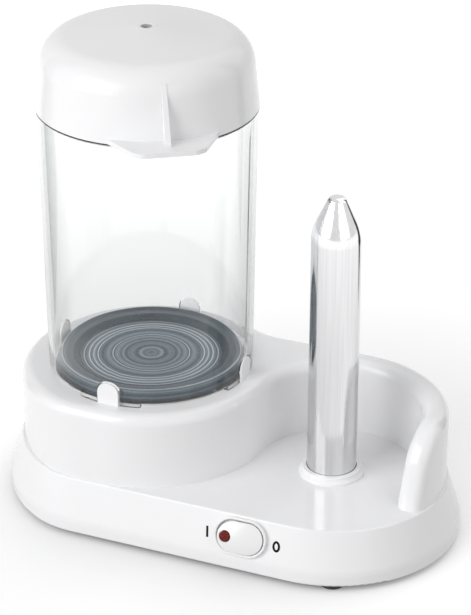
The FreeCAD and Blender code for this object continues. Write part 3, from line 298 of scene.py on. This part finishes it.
class Finish:
    """A surface finish: one principled shader and the patterns that drive it, on object coordinates."""

    def __init__(self, name, **sockets):
        self.material = bpy.data.materials.new(name)
        self.material.use_nodes = True
        self.tree = self.material.node_tree
        self.tree.nodes.clear()
        values = {socket.replace("_", " "): value for socket, value in sockets.items()}
        self.shader = self.add("ShaderNodeBsdfPrincipled", values)
        self.out = self.add("ShaderNodeOutputMaterial", {"Surface": self.shader.outputs["BSDF"]})
        self.place = self.add("ShaderNodeTexCoord").outputs["Object"]
        self.bumps = None

    def add(self, kind, inputs=(), **settings):
        return new_node(self.tree, kind, inputs, **settings)

    def drive(self, socket, source):
        """Let a pattern drive one of the shader's sockets."""
        self.tree.links.new(source, self.shader.inputs[socket])

    def colour(self):
        """What drives the base colour so far."""
        return self.shader.inputs["Base Color"].links[0].from_socket

    def laid(self, centre=(0, 0, 0), stretch=(1, 1, 1)):
        """Object coordinates about a centre, stretched along each axis."""
        shift = [-along * by for along, by in zip(centre, stretch)]
        mapping = self.add("ShaderNodeMapping", {"Vector": self.place, "Location": shift, "Scale": stretch})
        return mapping.outputs["Vector"]

    def cloud(self, size, detail=2.0, at=None):
        """Soft noise whose lumps are about size across."""
        noise = {"Scale": 1.0 / size, "Detail": detail, "Vector": at or self.place}
        return self.add("ShaderNodeTexNoise", noise).outputs["Fac"]

    def specks(self, size):
        """Small cells, for grains."""
        cells = {"Scale": 1.0 / size, "Vector": self.place}
        return self.add("ShaderNodeTexVoronoi", cells).outputs["Distance"]

    def radius(self, centre):
        """Distance from an upright axis."""
        flat = self.laid(centre, (1, 1, 0))
        return self.add("ShaderNodeVectorMath", {0: flat}, operation="LENGTH").outputs["Value"]

    def height(self):
        """Height above the table."""
        return self.add("ShaderNodeSeparateXYZ", {"Vector": self.place}).outputs["Z"]

    def streaks(self, along, size):
        """Uneven lines across a distance, as a turning tool leaves them."""
        noise = {"Scale": 1.0 / size, "Detail": 1.0, "W": along}
        return self.add("ShaderNodeTexNoise", noise, noise_dimensions="1D").outputs["Fac"]

    def banded(self, distance, bright, highlight_bands):
        """Rings of painted highlight over what the base colour is so far: each a radius and a half width."""
        total = 0.0
        for middle, half in highlight_bands:
            away = reckoned(self.tree, "ABSOLUTE", reckoned(self.tree, "SUBTRACT", distance, middle))
            total = reckoned(self.tree, "MAXIMUM", total, smooth_step(self.tree, away, 0.0, half, 1.0, 0.0))
        rings = {"Factor": total, "A": self.colour(), "B": (*bright, 1.0)}
        self.drive("Base Color", self.add("ShaderNodeMix", rings, data_type="RGBA").outputs["Result"])

    def shaded(self, pattern, low, high, start=0.35, stop=0.65):
        """Colour that drifts from low to high with a pattern."""
        ramp = self.add("ShaderNodeValToRGB", {"Fac": pattern})
        for element, position, tint in zip(ramp.color_ramp.elements, (start, stop), (low, high)):
            element.position = position
            element.color = (*tint, 1.0)
        self.drive("Base Color", ramp.outputs["Color"])

    def edge_shaded(self, straight, slant, start):
        """Colour where the wall faces the eye, and a painted shade towards its edges where it is seen at a
        slant.
        """
        self.shaded(self.add("ShaderNodeLayerWeight").outputs["Facing"], straight, slant, start, 1.0)

    def paint_shade(self, along, dark, clear, least):
        """Paint shade on the base colour so far, darkest at the dark height or radius and none at the clear
        one.
        """
        kept = smooth_step(self.tree, along, dark, clear, least, 1.0)
        dim = self.add("ShaderNodeVectorMath", {"Vector": self.colour(), "Scale": kept}, operation="SCALE")
        self.drive("Base Color", dim.outputs["Vector"])

    def dulled(self, pattern, low, high):
        """Roughness that follows a pattern."""
        ends = {"From Min": NOISE_LOW, "From Max": NOISE_HIGH, "To Min": low, "To Max": high}
        spread = self.add("ShaderNodeMapRange", {"Value": pattern, **ends})
        self.drive("Roughness", spread.outputs["Result"])

    def raised(self, pattern, depth, strength=1.0):
        """Relief of a given depth, over any that is there already."""
        bump = self.add("ShaderNodeBump", {"Height": pattern, "Distance": depth, "Strength": strength})
        if self.bumps:
            self.tree.links.new(self.bumps, bump.inputs["Normal"])
        self.bumps = bump.outputs["Normal"]
        self.drive("Normal", self.bumps)

    def lets_light_by(self, tint):
        """Shadows through the wall stay pale, as they do through a clear moulding."""
        shadow = self.add("ShaderNodeLightPath").outputs["Is Shadow Ray"]
        clear = self.add("ShaderNodeBsdfTransparent", {"Color": (*tint, 1.0)}).outputs["BSDF"]
        surface = mixed(self.tree, shadow, self.shader.outputs["BSDF"], clear)
        self.tree.links.new(surface, self.out.inputs["Surface"])


def darker(tint, kept):
    """A tint that keeps a share of its brightness."""
    return [channel * kept for channel in tint]


def polished_moulding(name, tint, gloss, rough, ripple, vent=None):
    """Glossy moulded plastic: a slow drift of tone, a faint ripple and, in the lid, painted shade in the
    vent.
    """
    finish = Finish(name, Specular_IOR_Level=gloss)
    finish.shaded(finish.cloud(size=0.06, detail=3.0), darker(tint, kept=0.985), tint)
    # Painted shade in the vent
    if vent:
        finish.paint_shade(finish.radius(vent), VENT_SHADE_DARKEST, VENT_SHADE_END, VENT_SHADE_KEPT)
    skin = finish.cloud(size=0.0016)
    finish.dulled(skin, low=rough * 0.85, high=rough * 1.2)
    finish.raised(finish.cloud(size=0.018, detail=1.0), ripple * 3)
    finish.raised(skin, ripple)
    return finish.material


def grained_moulding(name, tint, rough, grain):
    """Dull plastic with the spark-eroded grain of a part that isn't meant to shine."""
    finish = Finish(name)
    finish.shaded(finish.cloud(size=0.03, detail=4.0), darker(tint, kept=0.94), tint)
    finish.dulled(finish.cloud(size=0.004), low=rough * 0.9, high=min(1.0, rough * 1.15))
    finish.raised(finish.specks(size=0.0011), grain, strength=0.6)
    return finish.material


def turned_steel(name, plate, centre, highlight_bands, brim, skirt):
    """Pressed and spun plate: fine rings about its middle, painted highlights on some rings, and painted
    shade on the brim and at the foot of the skirt.
    """
    finish = Finish(name, Metallic=1.0)
    distance = finish.radius(centre)
    turning = finish.streaks(reckoned(finish.tree, "SUBTRACT", distance, finish.height()), plate.ring)
    finish.shaded(turning, plate.steel, plate.worn, stop=0.75)
    # Painted shade on the brim
    finish.paint_shade(distance, *brim, plate.brim_shade_kept)
    # Painted highlights: bright rings laid over the steel's colour
    finish.banded(distance, plate.bright, highlight_bands)
    # Painted shade at the foot of the skirt
    finish.paint_shade(finish.height(), *skirt, plate.skirt_shade_kept)
    finish.dulled(finish.cloud(size=0.02), low=plate.rough * 0.85, high=plate.rough * 1.2)
    finish.raised(turning, plate.ring_depth)
    return finish.material


def drawn_steel(name, tint, rough, depth):
    """Polished tube with faint marks along the way it was drawn."""
    finish = Finish(name, Metallic=1.0)
    marks = finish.cloud(size=0.0009, detail=3.0, at=finish.laid(stretch=(1, 1, 0.02)))
    finish.shaded(marks, darker(tint, kept=0.93), tint)
    finish.dulled(marks, low=rough * 0.8, high=rough * 1.3)
    finish.raised(marks, depth)
    return finish.material


def plain_metal(name, tint, rough):
    """Small plated or stamped metal: fine scratches one way and uneven brightness."""
    finish = Finish(name, Metallic=1.0)
    rubs = finish.cloud(size=0.0012, detail=4.0, at=finish.laid(stretch=(1.0, 0.15, 1.0)))
    finish.shaded(finish.cloud(size=0.005, detail=3.0), darker(tint, kept=0.85), tint)
    finish.dulled(rubs, low=rough * 0.75, high=min(1.0, rough * 1.3))
    finish.raised(rubs, depth=0.00002)
    return finish.material


def soft_rubber(name, tint, rough=0.75):
    """Moulded rubber or silicone: matt, with a fine pebbled skin."""
    finish = Finish(name)
    finish.shaded(finish.cloud(size=0.004, detail=3.0), darker(tint, kept=0.8), tint)
    finish.dulled(finish.cloud(size=0.002), low=rough * 0.9, high=min(1.0, rough * 1.2))
    finish.raised(finish.specks(size=0.0006), depth=0.00006, strength=0.5)
    return finish.material


def clear_moulding(name, jar):
    """Clear plastic wall with slow waves left by the mould, and painted shade towards its edges where it is
    seen at a slant.
    """
    finish = Finish(name, Transmission_Weight=1.0, IOR=jar.bend)
    # Painted shade towards the wall's edges
    finish.edge_shaded(jar.tint, jar.edge_painted_shade, jar.edge_shade_from)
    finish.dulled(finish.cloud(size=0.01), low=jar.haze * 0.3, high=jar.haze * 1.7)
    finish.raised(finish.cloud(size=0.03, detail=1.0, at=finish.laid(stretch=(1, 1, 0.35))), jar.wave)
    finish.lets_light_by(darker(jar.tint, kept=0.98))
    return finish.material


def lit_lens(name, tint):
    """Deep red lens with a moulded sparkle."""
    finish = Finish(name, Specular_IOR_Level=0.2)
    cells = finish.specks(size=0.0009)
    finish.shaded(cells, darker(tint, kept=0.35), tint, start=0.1, stop=0.7)
    finish.dulled(cells, low=0.15, high=0.35)
    finish.raised(cells, depth=0.0001, strength=0.6)
    return finish.material


def printed_ink(name, tint):
    """Pad-printed ink: near black, slightly uneven."""
    finish = Finish(name, Specular_IOR_Level=0.08)
    grain = finish.cloud(size=0.0004, detail=3.0)
    finish.shaded(grain, darker(tint, kept=0.6), tint)
    finish.dulled(grain, low=0.5, high=0.7)
    return finish.material


def dress(slot, material):
    """Give every CAD node of a material slot its finish."""
    for name, node in NODES.items():
        if SLOT_OF[name] != slot:
            continue
        if node.material_slots:
            for place in node.material_slots:
                place.material = material
        else:
            node.data.materials.append(material)


# ---------------------------------------------------------------- modelling by hand

def pick_nothing():
    if bpy.context.object and bpy.context.object.mode != "OBJECT":
        bpy.ops.object.mode_set(mode="OBJECT")
    bpy.ops.object.select_all(action="DESELECT")


def finish_piece(piece, name, material, body):
    """Leave a piece at the origin with its place in its mesh, riding its body."""
    bpy.context.view_layer.update()
    piece.name = name
    piece.data.name = name
    piece.data.transform(piece.matrix_world)
    piece.matrix_world = Matrix.Identity(4)
    piece.data.materials.clear()
    piece.data.materials.append(material)
    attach(piece, body)


def slope_frame(x, z):
    """Where a mark lies on the sloping front: along it, up it and out of it."""
    start, backwards = Vector((x, -SEARCH_FROM, z)), Vector((0, 1, 0))
    hit, place, normal, _ = NODES["upper_housing"].ray_cast(start, backwards)
    if not hit:
        raise RuntimeError("the front of the housing isn't where the marks are")
    out = normal.normalized()
    along = Vector((1, 0, 0))
    up = out.cross(along).normalized()
    turn = Matrix((along, up, out)).transposed().to_4x4()
    return Matrix.Translation(place) @ turn


def flat_ring(half_x, half_y, stroke, thick):
    """An oval ring lying in its own plane: a disc, inset and emptied, then raised."""
    pick_nothing()
    bpy.ops.mesh.primitive_circle_add(vertices=RING_SIDES, radius=1.0, fill_type="NGON")
    ring = bpy.context.object
    ring.scale = (half_x, half_y, 1.0)
    bpy.ops.object.transform_apply(location=False, rotation=False, scale=True)
    bpy.ops.object.mode_set(mode="EDIT")
    bpy.ops.mesh.select_all(action="SELECT")
    bpy.ops.mesh.inset(thickness=stroke)
    bpy.ops.mesh.delete(type="ONLY_FACE")
    bpy.ops.mesh.select_all(action="SELECT")
    bpy.ops.mesh.extrude_region_move(TRANSFORM_OT_translate={"value": (0, 0, thick)})
    bpy.ops.mesh.select_all(action="SELECT")
    bpy.ops.mesh.normals_make_consistent(inside=False)
    bpy.ops.object.mode_set(mode="OBJECT")
    return ring


def flat_bar(half_x, half_y, thick):
    """A bar lying in its own plane, its corners taken off as ink leaves them."""
    pick_nothing()
    bpy.ops.mesh.primitive_plane_add(size=1.0)
    bar = bpy.context.object
    bar.scale = (half_x * 2, half_y * 2, 1.0)
    bpy.ops.object.transform_apply(location=False, rotation=False, scale=True)
    bpy.ops.object.mode_set(mode="EDIT")
    bpy.ops.mesh.select_all(action="SELECT")
    bpy.ops.mesh.bevel(offset=half_x * SOFT_EDGE, segments=3, affect="VERTICES")
    bpy.ops.mesh.select_all(action="SELECT")
    bpy.ops.mesh.extrude_region_move(TRANSFORM_OT_translate={"value": (0, 0, thick)})
    bpy.ops.mesh.select_all(action="SELECT")
    bpy.ops.mesh.normals_make_consistent(inside=False)
    bpy.ops.object.mode_set(mode="OBJECT")
    return bar


def round_band(centre, inner, outer, low, high):
    """A thin upright band round an axis: a pipe with square edges, softened."""
    pick_nothing()
    bpy.ops.mesh.primitive_cylinder_add(
        vertices=BAND_SIDES, radius=outer, depth=high - low, end_fill_type="NOTHING",
    )
    band = bpy.context.object
    band.location = (centre.x, centre.y, (low + high) / 2)
    thick = band.modifiers.new("thick", "SOLIDIFY")
    thick.thickness = outer - inner
    thick.offset = -1.0
    soft = band.modifiers.new("soft", "BEVEL")
    soft.width = min(outer - inner, high - low) * SOFT_EDGE
    soft.segments = 2
    for name in ("thick", "soft"):
        bpy.ops.object.modifier_apply(modifier=name)
    bpy.ops.object.shade_smooth_by_angle(angle=math.radians(40))
    return band


# ---------------------------------------------------------------- operators

class TOASTER_OT_shell(bpy.types.Operator):
    """Finish the white mouldings: housing, lid, collar, cover and cord gland"""
    bl_idname = "toaster.shell"
    bl_label = "White mouldings"

    def execute(self, context):
        shell = context.scene.toaster_shell
        for slot in ("shell_white", "collar_white"):
            dress(slot, polished_moulding(slot, shell.white, shell.gloss, shell.gloss_rough, shell.ripple))
        looks = (shell.lid_white, shell.lid_gloss, shell.gloss_rough, shell.ripple)
        dress("lid_white", polished_moulding("lid_white", *looks, vent=JAR_MIDDLE))
        cover = grained_moulding("cover_white", shell.cover_white, rough=0.6, grain=shell.grain)
        dress("cover_white", cover)
        tint = darker(shell.white, kept=0.92)
        dress("gland_plastic", grained_moulding("gland_plastic", tint, rough=0.45, grain=shell.grain))
        return {"FINISHED"}


class TOASTER_OT_jar(bpy.types.Operator):
    """Finish the clear steaming jar"""
    bl_idname = "toaster.jar"
    bl_label = "Steaming jar"

    def execute(self, context):
        jar = context.scene.toaster_jar
        dress("jar_clear", clear_moulding("jar_clear", jar))
        return {"FINISHED"}


class TOASTER_OT_lid_shade_ring(bpy.types.Operator):
    """Lay the thin dark ring between the lid's rim and the jar: a painted shadow of the gap there"""
    bl_idname = "toaster.lid_seal"
    # A black ring that paints the shadow of the gap under the lid's rim
    bl_label = "Lid seal"

    def execute(self, context):
        jar = context.scene.toaster_jar
        low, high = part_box("steaming_jar")
        reach = (high.x - low.x) / 2
        inner, outer = reach + SEAT_GAP, reach + jar.shade_ring_out
        # Painted shadow: a thin black ring where the gap under the lid's rim is
        painted_ring = round_band(JAR_MIDDLE, inner, outer, high.z - jar.shade_ring_tall, high.z)
        rubber = soft_rubber("seal_rubber", jar.shade_ring_black, rough=0.5)
        finish_piece(painted_ring, "lid_seal", rubber, "lid")
        return {"FINISHED"}


class TOASTER_OT_hot_plate(bpy.types.Operator):
    """Finish the hot plate, its gasket and the element under it"""
    bl_idname = "toaster.hot_plate"
    bl_label = "Hot plate"

    def execute(self, context):
        plate = context.scene.toaster_plate
        # Painted highlight rings, and painted shade on the brim and at the foot of the skirt
        half = PLATE_HIGH.x - PLATE_MIDDLE.x
        highlight_bands = [(half * middle, half * width) for middle, width in PAINTED_HIGHLIGHT_RINGS]
        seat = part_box("plate_gasket")[1].z
        tall = PLATE_HIGH.z - seat
        skirt = (seat + tall * SKIRT_SHADE_DARKEST, seat + tall * SKIRT_SHADE_END)
        brim = (half * BRIM_SHADE_DARKEST, half * BRIM_SHADE_END)
        dress("plate_steel", turned_steel("plate_steel", plate, PLATE_MIDDLE, highlight_bands, brim, skirt))
        dress("gasket_silicone", soft_rubber("gasket_silicone", GASKET_GREY))
        dress("element_metal", plain_metal("element_metal", ELEMENT_GREY, rough=0.45))
        return {"FINISHED"}


class TOASTER_OT_spike(bpy.types.Operator):
    """Finish the stainless spike and the cartridge in it"""
    bl_idname = "toaster.spike"
    bl_label = "Bun spike"

    def execute(self, context):
        spike = context.scene.toaster_spike
        dress("spike_steel", drawn_steel("spike_steel", spike.steel, spike.rough, spike.draw_depth))
        dress("heater_sheath", drawn_steel("heater_sheath", SHEATH_GREY, rough=0.35, depth=0.00002))
        return {"FINISHED"}


class TOASTER_OT_switch(bpy.types.Operator):
    """Finish the rocker switch and its lens"""
    bl_idname = "toaster.switch"
    bl_label = "Rocker switch"

    def execute(self, context):
        shell, switch = context.scene.toaster_shell, context.scene.toaster_switch
        ripple = shell.ripple * 0.7
        key = polished_moulding("switch_white", switch.key_white, shell.gloss, rough=0.18, ripple=ripple)
        dress("switch_white", key)
        dress("switch_black", grained_moulding("switch_black", SWITCH_GREY, rough=0.5, grain=shell.grain))
        dress("lens_red", lit_lens("lens_red", switch.lens))
        return {"FINISHED"}


class TOASTER_OT_marks(bpy.types.Operator):
    """Print the on and off marks beside the switch"""
    bl_idname = "toaster.marks"
    bl_label = "On and off marks"

    def execute(self, context):
        switch = context.scene.toaster_switch
        ink = printed_ink("mark_ink", switch.ink)
        bar = flat_bar(switch.stroke / 2, switch.mark_tall / 2, switch.ink_thick)
        lean = Matrix.Rotation(switch.mark_lean, 4, "Z")
        bar.matrix_world = slope_frame(switch.on_x, switch.mark_z) @ lean
        finish_piece(bar, "mark_on", ink, "base")
        ring = flat_ring(switch.off_wide / 2, switch.mark_tall / 2, switch.stroke, switch.ink_thick)
        ring.matrix_world = slope_frame(switch.off_x, switch.mark_z) @ lean
        finish_piece(ring, "mark_off", ink, "base")
        return {"FINISHED"}


class TOASTER_OT_inner_parts(bpy.types.Operator):
    """Finish the parts inside and underneath: feet, screws, bracket, cut-out and terminals"""
    bl_idname = "toaster.inner_parts"
    bl_label = "Inner parts and feet"

    def execute(self, context):
        dress("foot_rubber", soft_rubber("foot_rubber", FOOT_BLACK))
        for slot, looks in SMALL_METALS.items():
            dress(slot, plain_metal(slot, *looks))
        for slot, looks in SMALL_INSULATORS.items():
            dress(slot, grained_moulding(slot, *looks))
        return {"FINISHED"}


def soft_lamp(name, watts, size, at):
    """A square area lamp that faces the object."""
    pick_nothing()
    bpy.ops.object.light_add(type="AREA", location=at)
    lamp = bpy.context.object
    lamp.name = name
    lamp.data.energy = watts
    lamp.data.size = size
    lamp.visible_transmission = False
    lamp.rotation_euler = (Vector(LAMP_AIM) - Vector(at)).to_track_quat("-Z", "Y").to_euler()


def dark_card(name, aside, stage):
    """A dark upright card beside the picture: only reflections show it, as a dark edge."""
    pick_nothing()
    aim = Vector(stage.looks)
    side, depth = Vector((-aim.y, aim.x, 0)).normalized(), Vector((aim.x, aim.y, 0)).normalized()
    bpy.ops.mesh.primitive_plane_add(size=1.0)
    card = bpy.context.object
    card.name = name
    card.scale = (stage.card_wide, stage.card_tall, 1.0)
    card.location = side * aside + depth * CARD_BEHIND + Vector((0, 0, stage.card_tall / 2))
    card.rotation_euler = (-depth).to_track_quat("Z", "Y").to_euler()
    material = bpy.data.materials.new(name)
    material.use_nodes = True
    shader = material.node_tree.nodes["Principled BSDF"]
    shader.inputs["Base Color"].default_value = (*stage.card_grey, 1.0)
    shader.inputs["Roughness"].default_value = 1.0
    card.data.materials.append(material)
    card.visible_camera = card.visible_diffuse = card.visible_shadow = card.visible_transmission = False


def studio_floor(stage):
    """A pale floor that looks white with its glow, keeps the lamps' shadows, has a painted contact shadow
    near the object and painted light at its sides, and is clear from below.
    """
    pick_nothing()
    bpy.ops.mesh.primitive_plane_add(size=stage.floor_size, location=(0, 0, -stage.floor_drop))
    floor = bpy.context.object
    floor.name = "studio_floor"
    material = bpy.data.materials.new("studio_floor")
    material.use_nodes = True
    tree = material.node_tree
    tree.nodes.clear()
    matt = new_node(tree, "ShaderNodeBsdfDiffuse", {"Color": (*stage.floor_white, 1.0)}).outputs["BSDF"]
    glow = new_node(tree, "ShaderNodeEmission", {"Strength": floor_light(tree, stage)}).outputs["Emission"]
    both = new_node(tree, "ShaderNodeAddShader", {0: matt, 1: glow}).outputs["Shader"]
    clear = new_node(tree, "ShaderNodeBsdfTransparent").outputs["BSDF"]
    below = new_node(tree, "ShaderNodeNewGeometry").outputs["Backfacing"]
    surface = mixed(tree, below, mixed(tree, seen_rays(tree), matt, both), clear)
    new_node(tree, "ShaderNodeOutputMaterial", {"Surface": surface})
    floor.data.materials.append(material)


def floor_light(tree, stage):
    """The floor's own glow: a painted contact shadow where the object stands near, stronger far from it, and
    painted light on both sides of it.
    """
    # Painted contact shadow: the glow is cut back where the object stands near
    contact_shade = new_node(tree, "ShaderNodeAmbientOcclusion", {"Distance": stage.glow_reach}).outputs["AO"]
    total = reckoned(tree, "MULTIPLY", contact_shade, stage.floor_glow)
    place = new_node(tree, "ShaderNodeTexCoord").outputs["Object"]
    folded = new_node(tree, "ShaderNodeVectorMath", {0: place}, operation="ABSOLUTE").outputs["Vector"]
    for centre, start, stop, glow in (
        ((0, 0, 0), stage.far_from, stage.far_to, stage.far_glow),
        # Painted light on both sides of the object
        (stage.side_at, stage.side_reach, 0.0, stage.side_glow),
    ):
        away = new_node(tree, "ShaderNodeVectorMath", {0: folded, 1: centre}, operation="DISTANCE")
        more = smooth_step(tree, away.outputs["Value"], start, stop, 0.0, glow)
        total = reckoned(tree, "ADD", total, more)
    return total


def seen_rays(tree):
    """One for rays from the eye and for those that metal or clear plastic sends on."""
    path = new_node(tree, "ShaderNodeLightPath")
    total = path.outputs["Is Camera Ray"]
    for kind in ("Is Glossy Ray", "Is Transmission Ray"):
        total = reckoned(tree, "MAXIMUM", total, path.outputs[kind])
    return total


def studio_air(stage):
    """White surroundings to the eye, and an even dim light on the object."""
    world = bpy.data.worlds.new("studio_air")
    bpy.context.scene.world = world
    world.use_nodes = True
    tree = world.node_tree
    tree.nodes.clear()
    dim, white = (
        new_node(tree, "ShaderNodeBackground", {"Color": (1.0, 1.0, 1.0, 1.0), "Strength": strength})
        for strength in (stage.air, 1.0)
    )
    surface = mixed(tree, seen_rays(tree), dim.outputs["Background"], white.outputs["Background"])
    new_node(tree, "ShaderNodeOutputWorld", {"Surface": surface})


class TOASTER_OT_stage(bpy.types.Operator):
    """Set the floor, the soft lamps, the room and the camera"""
    bl_idname = "toaster.stage"
    bl_label = "Studio"

    def execute(self, context):
        stage = context.scene.toaster_stage
        studio_floor(stage)
        studio_air(stage)
        for name, (size, place) in LAMPS.items():
            soft_lamp(f"{name}_lamp", getattr(stage, name), size, place)
        for name, aside in CARDS.items():
            dark_card(name, aside, stage)
        pick_nothing()
        bpy.ops.object.camera_add(location=stage.camera_at)
        camera = bpy.context.object
        camera.name = "view_camera"
        aim = Vector(stage.looks).to_track_quat("-Z", "Y").to_matrix()
        camera.rotation_euler = (aim @ Matrix.Rotation(stage.roll, 3, "Z")).to_euler()
        camera.data.sensor_fit = "AUTO"
        camera.data.sensor_width = 36.0
        camera.data.lens = stage.lens
        camera.data.clip_start = 0.05
        context.scene.camera = camera
        context.scene.view_settings.view_transform = "Standard"
        return {"FINISHED"}


OPERATORS = [
    TOASTER_OT_shell,
    TOASTER_OT_jar,
    TOASTER_OT_lid_shade_ring,
    TOASTER_OT_hot_plate,
    TOASTER_OT_spike,
    TOASTER_OT_switch,
    TOASTER_OT_marks,
    TOASTER_OT_inner_parts,
    TOASTER_OT_stage,
]


class TOASTER_PT_panel(bpy.types.Panel):
    """Sizes and colours of the toaster, with a button for each group of pieces"""
    bl_idname = "TOASTER_PT_panel"
    bl_label = "Hot dog toaster"
    bl_space_type = "VIEW_3D"
    bl_region_type = "UI"
    bl_category = "Toaster"

    def draw(self, context):
        for operator in OPERATORS:
            self.layout.operator(operator.bl_idname)
        for name, group in SETTINGS.items():
            box = self.layout.box()
            for prop in group.__annotations__:
                box.prop(getattr(context.scene, name), prop)


CLASSES = [*SETTINGS.values(), *OPERATORS, TOASTER_PT_panel]


def register():
    for each in CLASSES:
        bpy.utils.register_class(each)
    for name, group in SETTINGS.items():
        setattr(bpy.types.Scene, name, PointerProperty(type=group))


def unregister():
    for name in SETTINGS:
        delattr(bpy.types.Scene, name)
    for each in reversed(CLASSES):
        bpy.utils.unregister_class(each)


def main():
    register()
    bpy.ops.toaster.shell()
    bpy.ops.toaster.jar()
    bpy.ops.toaster.lid_seal()
    bpy.ops.toaster.hot_plate()
    bpy.ops.toaster.spike()
    bpy.ops.toaster.switch()
    bpy.ops.toaster.marks()
    bpy.ops.toaster.inner_parts()
    bpy.ops.toaster.stage()


if __name__ == "__main__":
    main()
